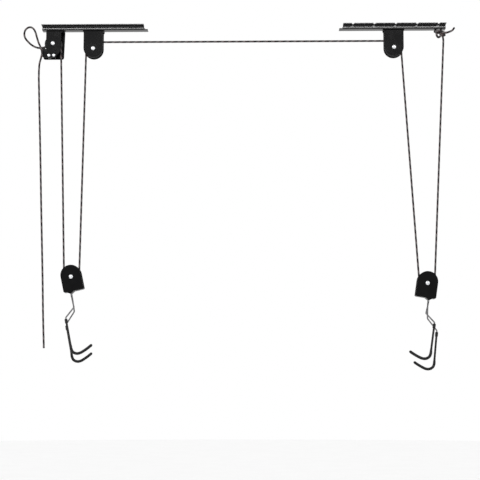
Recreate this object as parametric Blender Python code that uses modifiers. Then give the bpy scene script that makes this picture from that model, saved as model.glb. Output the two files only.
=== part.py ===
# Ceiling bike hoist: two steel ceiling rails, a brake pulley, two fixed pulleys, two hook blocks, one rope.
# Metres. +X to the right along the hoist, +Y away from the front, +Z up. z = 0 is the ceiling.
# The origin lies on the ceiling face of the brake rail, in the middle of its front flange.

import math

import bpy
import bmesh
from mathutils import Matrix, Vector

for old in list(bpy.data.objects):
    bpy.data.objects.remove(old, do_unlink=True)
for collection in list(bpy.data.collections):
    bpy.data.collections.remove(collection)

PARTS = bpy.data.collections.new("bike_hoist")
CUTTERS = bpy.data.collections.new("cutters")
bpy.context.scene.collection.children.link(PARTS)
bpy.context.scene.collection.children.link(CUTTERS)

# Clearances
GAP = 0.0003                    # air left between two pieces that touch
EDGE = 0.0004                   # small broken edge on pressed plates

# Rope
ROPE_RADIUS = 0.0022            # 4.4 mm braided rope
ROPE_TURN = 0.0185              # rope centre to wheel centre

# Sheet and rails
SHEET = 0.0018                  # pressed steel of housings and blocks
RAIL_SHEET = 0.0020             # pressed steel of the two rails
RAIL_LENGTH = 0.254
RAIL_TONGUE = 0.009             # floor of the channel runs on past the inner end
TROUGH_WIDTH = 0.0190           # outside of the channel
TROUGH_DEPTH = 0.0115           # ceiling to the underside of the channel
FLANGE = 0.0120                 # each ceiling flange beyond the channel wall
RAIL_BEND = 0.0030              # outside bend radius
ROPE_Y = TROUGH_WIDTH / 2 + FLANGE / 2
SLOT_WIDTH = 0.0056
SLOT_DEPTH = 0.0080
SLOT_PITCH = 0.0528
SLOT_SHIFT = 0.0030             # the row of slots sits a little toward the outer end
SLOT_COUNT = 5
BRAKE_RAIL_X = 0.0
ANCHOR_RAIL_X = 0.7474

# Wheels, the same moulding five times
WHEEL_BORE = 0.0033
WHEEL_HUB_RADIUS = 0.0068
WHEEL_RIM_RADIUS = 0.0215
WHEEL_HALF = 0.0058             # half width at the rim
GROOVE_HALF = 0.0026            # half width at the bottom of the groove
YOKE_INSIDE = 0.0154            # clear width between two cheeks
WHEEL_STEPS = 24

# Axle rivets
AXLE_RADIUS = 0.0030
AXLE_HEAD_RADIUS = 0.0056
AXLE_HEAD_HEIGHT = 0.0030
PIN_RADIUS = 0.0022
PIN_HEAD_RADIUS = 0.0040
PIN_HEAD_HEIGHT = 0.0020

# Cheek plates
CHEEK_WIDTH = 0.0500            # hook blocks
CHEEK_ROUND_RISE = 0.0045       # block axle inside the centre of the round end
YOKE_WIDTH = 0.0480
YOKE_ROUND_RISE = 0.0010        # the yokes' round ends sit this far above their axles
CHEEK_FLARE = 0.0022            # small flare where a yoke meets its rail

# Fixed pulleys
FIXED_AXLE_DEPTH = 0.0579
LEFT_FIXED_X = 0.0006
RIGHT_FIXED_X = 0.7461
YOKE_RIVET_X = 0.0155           # crown rivets either side of the axle

# Brake
BRAKE_X = -0.0996
BRAKE_AXLE_DEPTH = 0.0447
BRAKE_FRONT_LEFT = -0.0170
BRAKE_FRONT_RIGHT = 0.0205
BRAKE_REAR_RIGHT = 0.0275
BRAKE_STEP_DEPTH = 0.0195       # below the axle the plates step to the left
BRAKE_FOOT_DEPTH = 0.0362
BRAKE_FOOT_LEFT = -0.0262
BRAKE_FOOT_RIGHT = 0.0085
CAM_PIVOT_X = -0.0095
STOP_PIN_X = 0.0026
CAM_PIN_DEPTH = 0.0306
CAM_HALF = 0.0050
CAM_TOOTH = 0.0011

# Hook blocks
LEFT_BLOCK_X = -0.0462
LEFT_BLOCK_Z = -0.6277
LEFT_BLOCK_TILT = 12.0          # degrees, foot of the block toward the right rail
RIGHT_BLOCK_X = 0.8196
RIGHT_BLOCK_Z = -0.6445
RIGHT_BLOCK_TILT = -8.5
BLOCK_FOOT = 0.0350             # axle to the underside of the crown
SADDLE_DROP = 0.0045            # pressed saddle in the crown that carries the hook
SADDLE_HALF = 0.0085
SADDLE_SHIFT = 0.0085           # the saddle lies toward the outer side of the block

# Hooks
WIRE_RADIUS = 0.0018
HOOK_HOLE_RADIUS = 0.0025
HOOK_HALF = 0.0042              # half distance of the two legs where they leave the crown
HOOK_NECK = 0.0420              # crown to the first bend
HOOK_STEP_OUT = 0.0240
HOOK_STEP_DOWN = 0.0250
HOOK_LEG = 0.0800
HOOK_SPREAD_NECK = 0.0240       # half distance of the two legs at the first bend
HOOK_SPREAD_KNEE = 0.0360
HOOK_SPREAD = 0.0520            # half distance of the two prongs at the bottom
HOOK_REACH = 0.0480
HOOK_BOTTOM = 0.0135
LEFT_HOOK_ROLL = 7.0            # degrees, front prong held a little higher
RIGHT_HOOK_ROLL = 10.5
LEFT_HOOK_TWIST = 10.0          # degrees, front prong turned toward +X
RIGHT_HOOK_TWIST = -15.0
SLEEVE_BORE = WIRE_RADIUS + GAP
SLEEVE_COLLAR = 0.0036
SLEEVE_LEG = 0.0028
SLEEVE_BOW = 0.0037

# Rope end on the anchor rail
ANCHOR_HOLE_INSET = 0.0105      # outer hole to the end of the rail
ANCHOR_HOLE_PITCH = 0.0135
ANCHOR_HOLE_A = ANCHOR_RAIL_X + RAIL_LENGTH / 2 - ANCHOR_HOLE_INSET
ANCHOR_HOLE_B = ANCHOR_HOLE_A - ANCHOR_HOLE_PITCH
ANCHOR_X = ANCHOR_HOLE_A + 0.0058
ANCHOR_HOLE_RADIUS = 0.0028
ANCHOR_FALL_TOP = -0.0400

# Pull rope, along its centre line from the brake: x and z from the brake axle, y from the rope plane
PULL_ROUTE = (
    (-0.0262, 0.0000, -0.0080), (-0.0286, 0.0000, -0.0080), (-0.0366, -0.0012, -0.0092), (-0.0492, -0.0050, -0.0058),
    (-0.0600, -0.0095, 0.0022), (-0.0680, -0.0130, 0.0118), (-0.0703, -0.0155, 0.0212),
    (-0.0676, -0.0175, 0.0305), (-0.0611, -0.0185, 0.0367), (-0.0536, -0.0188, 0.0378),
    (-0.0470, -0.0185, 0.0340), (-0.0421, -0.0180, 0.0252), (-0.0385, -0.0165, 0.0128),
    (-0.0348, -0.0150, 0.0005), (-0.0298, -0.0140, -0.0108), (-0.0262, -0.0132, -0.0232),
    (-0.0274, -0.0130, -0.0352), (-0.0318, -0.0120, -0.0520), (-0.0334, -0.0105, -0.0803),
    (-0.0327, -0.0090, -0.1150), (-0.0296, -0.0070, -0.2055), (-0.0264, -0.0050, -0.3054),
    (-0.0234, -0.0035, -0.4048), (-0.0200, -0.0025, -0.5038), (-0.0170, -0.0020, -0.5900),
    (-0.0145, -0.0015, -0.6758), (-0.0114, -0.0010, -0.7562),
)
PULL_POINTS = 72


def material(name, colour, metallic, roughness):
    """Make one Principled material, one for each node."""
    mat = bpy.data.materials.new(name)
    mat.use_nodes = True
    shader = mat.node_tree.nodes["Principled BSDF"]
    shader.inputs["Base Color"].default_value = (*colour, 1.0)
    shader.inputs["Metallic"].default_value = metallic
    shader.inputs["Roughness"].default_value = roughness
    mat.diffuse_color = (*colour, 1.0)
    return mat


FINISHES = {
    "enamel": ((0.012, 0.012, 0.013), 0.0, 0.32),
    "zinc": ((0.74, 0.75, 0.76), 1.0, 0.26),
    "nylon": ((0.030, 0.030, 0.032), 0.0, 0.50),
    "wire": ((0.42, 0.43, 0.44), 1.0, 0.35),
    "vinyl": ((0.010, 0.010, 0.011), 0.0, 0.45),
    "rope": ((0.035, 0.030, 0.032), 0.0, 0.85),
    "cam": ((0.020, 0.020, 0.021), 0.0, 0.42),
}


def finish(obj, kind, origin):
    """Give an object its material, its smooth shading and its origin."""
    origin = Vector(origin)
    obj.data.transform(Matrix.Translation(-origin))
    obj.location = origin
    obj.data.materials.clear()
    obj.data.materials.append(material(obj.name, *FINISHES[kind]))
    obj.data.shade_smooth()
    obj.data.set_sharp_from_angle(angle=math.radians(32))
    return obj


def place(mesh, name, collection):
    """Put a mesh in a collection as a named object."""
    mesh.name = name
    obj = bpy.data.objects.new(name, mesh)
    collection.objects.link(obj)
    if collection is CUTTERS:
        obj.hide_render = True
        obj.display_type = "WIRE"
    return obj


def curve_to_mesh(curve, matrix):
    """Turn a curve into one closed mesh in world space."""
    holder = bpy.data.objects.new("holder", curve)
    bpy.context.scene.collection.objects.link(holder)
    holder.matrix_world = matrix
    graph = bpy.context.evaluated_depsgraph_get()
    graph.update()
    mesh = bpy.data.meshes.new_from_object(holder.evaluated_get(graph))
    mesh.transform(holder.matrix_world)
    bpy.data.objects.remove(holder, do_unlink=True)
    work = bmesh.new()
    work.from_mesh(mesh)
    bmesh.ops.remove_doubles(work, verts=work.verts, dist=1e-6)
    bmesh.ops.recalc_face_normals(work, faces=work.faces)
    work.to_mesh(mesh)
    work.free()
    return mesh


XZ_PLANE = Matrix(((1, 0, 0, 0), (0, 0, -1, 0), (0, 1, 0, 0), (0, 0, 0, 1)))
YZ_PLANE = Matrix(((0, 0, 1, 0), (1, 0, 0, 0), (0, 1, 0, 0), (0, 0, 0, 1)))
XY_PLANE = Matrix.Identity(4)


def slab(name, outlines, thickness, plane, centre, collection=PARTS):
    """Extrude flat outlines (the first is the outside, the others are holes) to a plate."""
    curve = bpy.data.curves.new(name, "CURVE")
    curve.dimensions = "2D"
    curve.fill_mode = "BOTH"
    curve.extrude = thickness / 2
    for outline in outlines:
        spline = curve.splines.new("POLY")
        spline.points.add(len(outline) - 1)
        for point, (u, v) in zip(spline.points, outline):
            point.co = (u, v, 0, 1)
        spline.use_cyclic_u = True
    return place(curve_to_mesh(curve, Matrix.Translation(centre) @ plane), name, collection)


def tube(name, points, radius, radii=None, collection=PARTS, resolution=2):
    """Sweep a round section along points; radii scales it point by point."""
    curve = bpy.data.curves.new(name, "CURVE")
    curve.dimensions = "3D"
    curve.bevel_depth = radius
    curve.bevel_resolution = resolution
    curve.use_fill_caps = True
    curve.twist_mode = "MINIMUM"
    spline = curve.splines.new("POLY")
    spline.points.add(len(points) - 1)
    for index, (point, place_at) in enumerate(zip(spline.points, points)):
        point.co = (*place_at, 1)
        point.radius = 1.0 if radii is None else radii[index] / radius
    return place(curve_to_mesh(curve, Matrix.Identity(4)), name, collection)


def turned(name, profile, centre, steps, closed):
    """Turn a profile of (radius, height) about Y; height runs toward the front."""
    mesh = bpy.data.meshes.new(name)
    edges = [(i, i + 1) for i in range(len(profile) - 1)]
    if closed:
        edges.append((len(profile) - 1, 0))
    mesh.from_pydata([(r, 0, h) for r, h in profile], edges, [])
    obj = place(mesh, name, PARTS)
    screw = obj.modifiers.new("turn", "SCREW")
    screw.steps = steps
    screw.render_steps = steps
    screw.use_merge_vertices = True
    screw.merge_threshold = 0.00001
    screw.use_normal_calculate = True
    graph = bpy.context.evaluated_depsgraph_get()
    graph.update()
    solid = bpy.data.meshes.new_from_object(obj.evaluated_get(graph))
    obj.modifiers.clear()
    obj.data = solid
    bpy.data.meshes.remove(mesh)
    solid.name = name
    work = bmesh.new()
    work.from_mesh(solid)
    bmesh.ops.remove_doubles(work, verts=work.verts, dist=1e-6)
    bmesh.ops.recalc_face_normals(work, faces=work.faces)
    work.to_mesh(solid)
    work.free()
    solid.transform(Matrix.Translation(centre) @ Matrix.Rotation(math.radians(90), 4, "X"))
    return obj


def cut(obj, cutter, operation="DIFFERENCE"):
    """Apply one exact Boolean to a part."""
    modifier = obj.modifiers.new(cutter.name, "BOOLEAN")
    modifier.operation = operation
    modifier.solver = "EXACT"
    modifier.object = cutter


def bake(obj):
    """Settle a part's Booleans into its own mesh, before the part is turned."""
    graph = bpy.context.evaluated_depsgraph_get()
    graph.update()
    solid = bpy.data.meshes.new_from_object(obj.evaluated_get(graph))
    obj.modifiers.clear()
    obj.data = solid
    solid.name = obj.name


def arc(cx, cz, radius, start, end, count):
    """Points on an arc in degrees, both ends included."""
    return [(cx + radius * math.cos(math.radians(start + (end - start) * i / count)),
             cz + radius * math.sin(math.radians(start + (end - start) * i / count)))
            for i in range(count + 1)]


def round_corners(corners, radius, count=3):
    """Round the corners of a closed outline; radius may be one value or one for each corner."""
    outline = []
    total = len(corners)
    for i in range(total):
        here = Vector(corners[i])
        before = (Vector(corners[i - 1]) - here)
        after = (Vector(corners[(i + 1) % total]) - here)
        r = radius[i] if isinstance(radius, (list, tuple)) else radius
        if r <= 0:
            outline.append(tuple(here))
            continue
        angle = before.angle(after)
        reach = r / math.tan(angle / 2)
        a = here + before.normalized() * reach
        b = here + after.normalized() * reach
        middle = here + (before.normalized() + after.normalized()).normalized() * (r / math.sin(angle / 2))
        a0 = math.atan2(a.y - middle.y, a.x - middle.x)
        a1 = math.atan2(b.y - middle.y, b.x - middle.x)
        turn = (a1 - a0 + math.pi) % (2 * math.pi) - math.pi
        for k in range(count + 1):
            t = a0 + turn * k / count
            outline.append((middle.x + r * math.cos(t), middle.y + r * math.sin(t)))
    return outline


def smooth_route(route, count):
    """Read a given number of evenly spaced points from a smooth curve through a route."""
    pts = [Vector(p) for p in route]
    pts = [2 * pts[0] - pts[1]] + pts + [2 * pts[-1] - pts[-2]]
    dense = []
    for i in range(1, len(pts) - 2):
        p0, p1, p2, p3 = pts[i - 1:i + 3]
        t01 = (p1 - p0).length ** 0.5
        t12 = (p2 - p1).length ** 0.5
        t23 = (p3 - p2).length ** 0.5
        m1 = (p2 - p1 + t12 * ((p1 - p0) / t01 - (p2 - p0) / (t01 + t12)))
        m2 = (p2 - p1 + t12 * ((p3 - p2) / t23 - (p3 - p1) / (t12 + t23)))
        for k in range(24):
            s = k / 24
            dense.append((2 * s ** 3 - 3 * s ** 2 + 1) * p1 + (s ** 3 - 2 * s ** 2 + s) * m1
                         + (-2 * s ** 3 + 3 * s ** 2) * p2 + (s ** 3 - s ** 2) * m2)
    dense.append(pts[-2].copy())
    run = [0.0]
    for a, b in zip(dense, dense[1:]):
        run.append(run[-1] + (b - a).length)
    out, j = [], 0
    for i in range(count):
        want = run[-1] * i / (count - 1)
        while j < len(run) - 2 and run[j + 1] < want:
            j += 1
        span = run[j + 1] - run[j]
        out.append(dense[j].lerp(dense[j + 1], (want - run[j]) / span if span else 0.0))
    return out, run[-1]


# Ceiling rails: one pressed hat section, the second rail turned end for end
def rail_section():
    half = TROUGH_WIDTH / 2
    edge = half + FLANGE
    t = RAIL_SHEET
    corners = [(-edge, 0), (-half + t, 0), (-half + t, -TROUGH_DEPTH + t), (half - t, -TROUGH_DEPTH + t),
               (half - t, 0), (edge, 0), (edge, -t), (half, -t), (half, -TROUGH_DEPTH),
               (-half, -TROUGH_DEPTH), (-half, -t), (-edge, -t)]
    inner = RAIL_BEND - t
    radii = [EDGE, RAIL_BEND, inner, inner, RAIL_BEND, EDGE, EDGE, inner, RAIL_BEND, RAIL_BEND, inner, EDGE]
    return round_corners(corners, radii, 3)


def hole_cutter(name, spots, radius, z_low, z_high, sides=16):
    """Upright round cutters at several (x, y) spots, as one object."""
    curve = bpy.data.curves.new(name, "CURVE")
    curve.dimensions = "2D"
    curve.fill_mode = "BOTH"
    curve.extrude = (z_high - z_low) / 2
    for x, y in spots:
        ring = [(x + radius * math.cos(2 * math.pi * i / sides), y + radius * math.sin(2 * math.pi * i / sides))
                for i in range(sides)]
        spline = curve.splines.new("POLY")
        spline.points.add(len(ring) - 1)
        for point, (u, v) in zip(spline.points, ring):
            point.co = (u, v, 0, 1)
        spline.use_cyclic_u = True
    matrix = Matrix.Translation((0, 0, (z_high + z_low) / 2))
    return place(curve_to_mesh(curve, matrix), name, CUTTERS)


def slot_cutter(name, spots, y_edge, toward):
    """Open-ended screw slots cut in from a flange edge."""
    curve = bpy.data.curves.new(name, "CURVE")
    curve.dimensions = "2D"
    curve.fill_mode = "BOTH"
    curve.extrude = RAIL_SHEET * 1.5
    half = SLOT_WIDTH / 2
    for x in spots:
        y_round = y_edge + toward * (SLOT_DEPTH - half)
        ring = [(x - half, y_edge - toward * 0.002), (x - half, y_round)]
        ring += [(x - half * math.cos(math.pi * i / 6), y_round + toward * half * math.sin(math.pi * i / 6))
                 for i in range(1, 6)]
        ring += [(x + half, y_round), (x + half, y_edge - toward * 0.002)]
        spline = curve.splines.new("POLY")
        spline.points.add(len(ring) - 1)
        for point, (u, v) in zip(spline.points, ring):
            point.co = (u, v, 0, 1)
        spline.use_cyclic_u = True
    return place(curve_to_mesh(curve, Matrix.Translation((0, 0, -RAIL_SHEET / 2))), name, CUTTERS)


def box_cutter(name, low, high):
    """A plain block between two corners."""
    mesh = bpy.data.meshes.new(name)
    work = bmesh.new()
    bmesh.ops.create_cube(work, size=1.0)
    size = Vector(high) - Vector(low)
    middle = (Vector(high) + Vector(low)) / 2
    work.transform(Matrix.Translation(middle) @ Matrix.Diagonal((*size, 1.0)))
    work.to_mesh(mesh)
    work.free()
    return place(mesh, name, CUTTERS)


def rail(name, x, inner_side, slot_side, holes):
    """One rail; inner_side is +1 when its tongue points to +X, slot_side is -1 for a slotted front flange."""
    full = RAIL_LENGTH + RAIL_TONGUE
    obj = slab(name, [rail_section()], full, YZ_PLANE, (x + inner_side * RAIL_TONGUE / 2, ROPE_Y, 0))
    edge = TROUGH_WIDTH / 2 + FLANGE
    spots = [x - inner_side * SLOT_SHIFT + SLOT_PITCH * (i - (SLOT_COUNT - 1) / 2) for i in range(SLOT_COUNT)]
    cut(obj, slot_cutter(name + "_slots", spots, ROPE_Y + slot_side * edge, -slot_side))
    inner_end = x + inner_side * RAIL_LENGTH / 2
    far_end = inner_end + inner_side * (RAIL_TONGUE + 0.002)
    low_x, high_x = sorted((inner_end, far_end))
    cut(obj, box_cutter(name + "_tongue", (low_x, ROPE_Y - edge - 0.002, -TROUGH_DEPTH + RAIL_SHEET),
                        (high_x, ROPE_Y + edge + 0.002, 0.002)))
    for label, group, radius in holes:
        cut(obj, hole_cutter(name + "_" + label, [(hx, ROPE_Y) for hx in group], radius,
                             -TROUGH_DEPTH - 0.002, -TROUGH_DEPTH + RAIL_SHEET + 0.002))
    return finish(obj, "enamel", (x, ROPE_Y, 0))


RIVET_HOLE = PIN_RADIUS + GAP
rail("brake_rail", BRAKE_RAIL_X, 1, 1,
     [("rivets", [BRAKE_X - 0.0115, BRAKE_X + 0.0115, LEFT_FIXED_X - YOKE_RIVET_X, LEFT_FIXED_X + YOKE_RIVET_X],
       RIVET_HOLE)])
rail("anchor_rail", ANCHOR_RAIL_X, -1, -1,
     [("rivets", [RIGHT_FIXED_X - YOKE_RIVET_X, RIGHT_FIXED_X + YOKE_RIVET_X], RIVET_HOLE),
      ("rope_holes", [ANCHOR_HOLE_A, ANCHOR_HOLE_B], ANCHOR_HOLE_RADIUS)])


def u_section(inside, top, bottom):
    """Folded U open downward: outline in Y and Z."""
    a = inside / 2
    b = a + SHEET
    bend = SHEET + 0.0010
    corners = [(-b, bottom), (-b, top), (b, top), (b, bottom), (a, bottom), (a, top - SHEET),
               (-a, top - SHEET), (-a, bottom)]
    return round_corners(corners, [0, bend, bend, 0, 0, bend - SHEET, bend - SHEET, 0], 3)


CROWN_TOP = -TROUGH_DEPTH - GAP
YOKE_OUTSIDE = YOKE_INSIDE + 2 * SHEET


def yoke(name, x, depth):
    """Pulley yoke under a rail, folded from one strip with two round-ended cheeks."""
    half = YOKE_WIDTH / 2
    obj = slab(name, [u_section(YOKE_INSIDE, CROWN_TOP, -depth - half - 0.010)], YOKE_WIDTH + 0.010,
               YZ_PLANE, (x, ROPE_Y, 0))
    centre_z = -depth + YOKE_ROUND_RISE
    outline = [(half + CHEEK_FLARE, CROWN_TOP + 0.002), (-half - CHEEK_FLARE, CROWN_TOP + 0.002),
               (-half - CHEEK_FLARE, CROWN_TOP - 0.0022), (-half - CHEEK_FLARE * 0.35, CROWN_TOP - 0.0034),
               (-half, CROWN_TOP - 0.0056)]
    outline += arc(0, centre_z, half, 180, 360, 16)
    outline += [(half, CROWN_TOP - 0.0056), (half + CHEEK_FLARE * 0.35, CROWN_TOP - 0.0034),
                (half + CHEEK_FLARE, CROWN_TOP - 0.0022)]
    cut(obj, slab(name + "_outline", [outline], YOKE_OUTSIDE + 0.010, XZ_PLANE, (x, ROPE_Y, 0), CUTTERS),
        "INTERSECT")
    bore = arc(0, -depth, AXLE_RADIUS + GAP, 0, 337.5, 15)
    cut(obj, slab(name + "_bore", [bore], YOKE_OUTSIDE + 0.010, XZ_PLANE, (x, ROPE_Y, 0), CUTTERS))
    cut(obj, hole_cutter(name + "_rivet_holes", [(x - YOKE_RIVET_X, ROPE_Y), (x + YOKE_RIVET_X, ROPE_Y)],
                         RIVET_HOLE, CROWN_TOP - SHEET - 0.001, CROWN_TOP + 0.001))
    return finish(obj, "enamel", (x, ROPE_Y, -depth))


yoke("left_yoke", LEFT_FIXED_X, FIXED_AXLE_DEPTH)
yoke("right_yoke", RIGHT_FIXED_X, FIXED_AXLE_DEPTH)


# Brake housing: a folded U like the yokes, its cheeks stepped to the left below the wheel
def brake_housing():
    low = -BRAKE_AXLE_DEPTH - BRAKE_FOOT_DEPTH
    step = -BRAKE_AXLE_DEPTH - BRAKE_STEP_DEPTH
    obj = slab("brake_housing", [u_section(YOKE_INSIDE, CROWN_TOP, low - 0.004)], 0.062, YZ_PLANE,
               (BRAKE_X, ROPE_Y, 0))
    rear = [(BRAKE_REAR_RIGHT, CROWN_TOP + 0.002), (BRAKE_FRONT_LEFT, CROWN_TOP + 0.002),
            (BRAKE_FRONT_LEFT, step), (BRAKE_FOOT_LEFT, step - 0.0020), (BRAKE_FOOT_LEFT, low),
            (BRAKE_REAR_RIGHT - 0.0025, low)]
    rear = round_corners(rear, [0, 0, 0.0015, 0.0028, 0.0045, 0.0045], 3)
    deep = YOKE_INSIDE / 2 + SHEET + 0.004
    cut(obj, slab("brake_outline", [rear], deep * 2, XZ_PLANE, (BRAKE_X, ROPE_Y, 0), CUTTERS), "INTERSECT")
    below_crown = CROWN_TOP - SHEET - 0.0020
    waste = [(BRAKE_FRONT_RIGHT, below_crown), (BRAKE_FRONT_RIGHT - 0.0010, step), (BRAKE_FOOT_RIGHT, low + 0.0030),
             (BRAKE_FOOT_RIGHT - 0.0030, low - 0.0010), (BRAKE_FOOT_RIGHT, low - 0.0060), (0.0360, low - 0.0060),
             (0.0360, below_crown)]
    waste = round_corners(waste, [0.0030, 0.0050, 0.0030, 0, 0, 0, 0], 3)
    cut(obj, slab("brake_front_trim", [waste], SHEET * 3, XZ_PLANE,
                  (BRAKE_X, ROPE_Y - YOKE_INSIDE / 2 - SHEET * 1.2, 0), CUTTERS))
    pins = [(0.0, -BRAKE_AXLE_DEPTH, AXLE_RADIUS + GAP),
            (CAM_PIVOT_X, -BRAKE_AXLE_DEPTH - CAM_PIN_DEPTH, RIVET_HOLE),
            (STOP_PIN_X, -BRAKE_AXLE_DEPTH - CAM_PIN_DEPTH, RIVET_HOLE)]
    for index, (px, pz, radius) in enumerate(pins):
        ring = arc(px, pz, radius, 0, 337.5, 15)
        cut(obj, slab("brake_bore_%d" % index, [ring], deep * 2 + 0.01, XZ_PLANE, (BRAKE_X, ROPE_Y, 0), CUTTERS))
    cut(obj, hole_cutter("brake_rivet_holes", [(BRAKE_X - 0.0115, ROPE_Y), (BRAKE_X + 0.0115, ROPE_Y)],
                         RIVET_HOLE, CROWN_TOP - SHEET - 0.001, CROWN_TOP + 0.001))
    return finish(obj, "enamel", (BRAKE_X, ROPE_Y, -BRAKE_AXLE_DEPTH))


brake_housing()


# Pulley wheels
GROOVE_BOTTOM = ROPE_TURN - ROPE_RADIUS - GAP - 0.0001


def wheel(name, x, z):
    hub = YOKE_INSIDE / 2 - GAP
    web = 0.0034
    profile = [(WHEEL_BORE, hub), (WHEEL_HUB_RADIUS, hub), (WHEEL_HUB_RADIUS + 0.0006, web),
               (WHEEL_RIM_RADIUS - 0.0050, web), (WHEEL_RIM_RADIUS - 0.0036, WHEEL_HALF),
               (WHEEL_RIM_RADIUS, WHEEL_HALF - 0.0006), (GROOVE_BOTTOM, GROOVE_HALF - 0.0004)]
    profile += [(r, -h) for r, h in reversed(profile)]
    obj = turned(name, profile, (x, ROPE_Y, z), WHEEL_STEPS, True)
    return finish(obj, "nylon", (x, ROPE_Y, z))


# Rivets: a low domed head at each end
def rivet(name, x, z, radius, head, height, reach, steps=14):
    """A rivet along Y; reach is the half length between the undersides of its heads."""
    angles = (0, 42, 80)
    dome = [(head * math.sin(math.radians(a)), reach + height * math.cos(math.radians(a)) * 0.75 + height * 0.25)
            for a in angles]
    profile = [(0.0, dome[0][1])] + dome[1:] + [(head, reach), (radius, reach)]
    profile += [(r, -h) for r, h in reversed(profile)]
    obj = turned(name, profile, (x, ROPE_Y, z), steps, False)
    return finish(obj, "zinc", (x, ROPE_Y, z))


def crown_rivet(name, x):
    """A short upright rivet that holds a yoke under its rail."""
    low = CROWN_TOP - SHEET - GAP
    high = -TROUGH_DEPTH + RAIL_SHEET + GAP
    middle = (low + high) / 2
    obj = rivet(name, x, middle, PIN_RADIUS, PIN_HEAD_RADIUS, 0.0018, (high - low) / 2, 12)
    obj.data.transform(Matrix.Rotation(math.radians(90), 4, "X"))
    return obj


CHEEK_REACH = YOKE_INSIDE / 2 + SHEET + GAP
for name, x, z in (("brake", BRAKE_X, -BRAKE_AXLE_DEPTH), ("left_fixed", LEFT_FIXED_X, -FIXED_AXLE_DEPTH),
                   ("right_fixed", RIGHT_FIXED_X, -FIXED_AXLE_DEPTH), ("left_block", LEFT_BLOCK_X, LEFT_BLOCK_Z),
                   ("right_block", RIGHT_BLOCK_X, RIGHT_BLOCK_Z)):
    wheel(name + "_wheel", x, z)
    rivet(name + "_axle", x, z, AXLE_RADIUS, AXLE_HEAD_RADIUS, AXLE_HEAD_HEIGHT, CHEEK_REACH)
CAM_PIN_Z = -BRAKE_AXLE_DEPTH - CAM_PIN_DEPTH
rivet("cam_pivot_rivet", BRAKE_X + CAM_PIVOT_X, CAM_PIN_Z, PIN_RADIUS, PIN_HEAD_RADIUS, PIN_HEAD_HEIGHT, CHEEK_REACH)
rivet("stop_rivet", BRAKE_X + STOP_PIN_X, CAM_PIN_Z, PIN_RADIUS, PIN_HEAD_RADIUS, PIN_HEAD_HEIGHT, CHEEK_REACH)
for name, x in (("brake_crown_rivet_a", BRAKE_X - 0.0115), ("brake_crown_rivet_b", BRAKE_X + 0.0115),
                ("left_crown_rivet_a", LEFT_FIXED_X - YOKE_RIVET_X),
                ("left_crown_rivet_b", LEFT_FIXED_X + YOKE_RIVET_X),
                ("right_crown_rivet_a", RIGHT_FIXED_X - YOKE_RIVET_X),
                ("right_crown_rivet_b", RIGHT_FIXED_X + YOKE_RIVET_X)):
    crown_rivet(name, x)


# Brake cam: a toothed wedge that nips the rope against the wheel
def brake_cam():
    px, pz = CAM_PIVOT_X, -CAM_PIN_DEPTH
    face = []
    clear = WHEEL_RIM_RADIUS + 0.0011
    teeth = 7
    start, end = 206.0, 247.0
    for i in range(teeth):
        a0 = start + (end - start) * i / teeth
        a1 = start + (end - start) * (i + 0.75) / teeth
        face += arc(0, 0, clear + CAM_TOOTH, a0, a0, 1)[:1] + arc(0, 0, clear, a1, a1, 1)[:1]
    face += arc(0, 0, clear + CAM_TOOTH, end, end, 1)[:1]
    outline = [(-0.0325, -0.0118), (-0.0300, -0.0108), (-0.0215, -0.0106)] + face
    outline += arc(px, pz, 0.0058, 40, -150, 10)
    outline += [(-0.0225, -0.0265), (-0.0290, -0.0182), (-0.0330, -0.0132)]
    bore = arc(px, pz, RIVET_HOLE, 0, 337.5, 15)
    obj = slab("brake_cam", [outline, bore], CAM_HALF * 2, XZ_PLANE, (BRAKE_X, ROPE_Y, -BRAKE_AXLE_DEPTH))
    return finish(obj, "cam", (BRAKE_X + px, ROPE_Y, CAM_PIN_Z))


brake_cam()


# Hook block shells: two cheeks and a crown with a pressed saddle
def tilt_about(x, z, degrees):
    """Turn about Y through a block's axle; a positive angle swings the foot to +X."""
    centre = Vector((x, ROPE_Y, z))
    return Matrix.Translation(centre) @ Matrix.Rotation(math.radians(-degrees), 4, "Y") @ Matrix.Translation(-centre)


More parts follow.
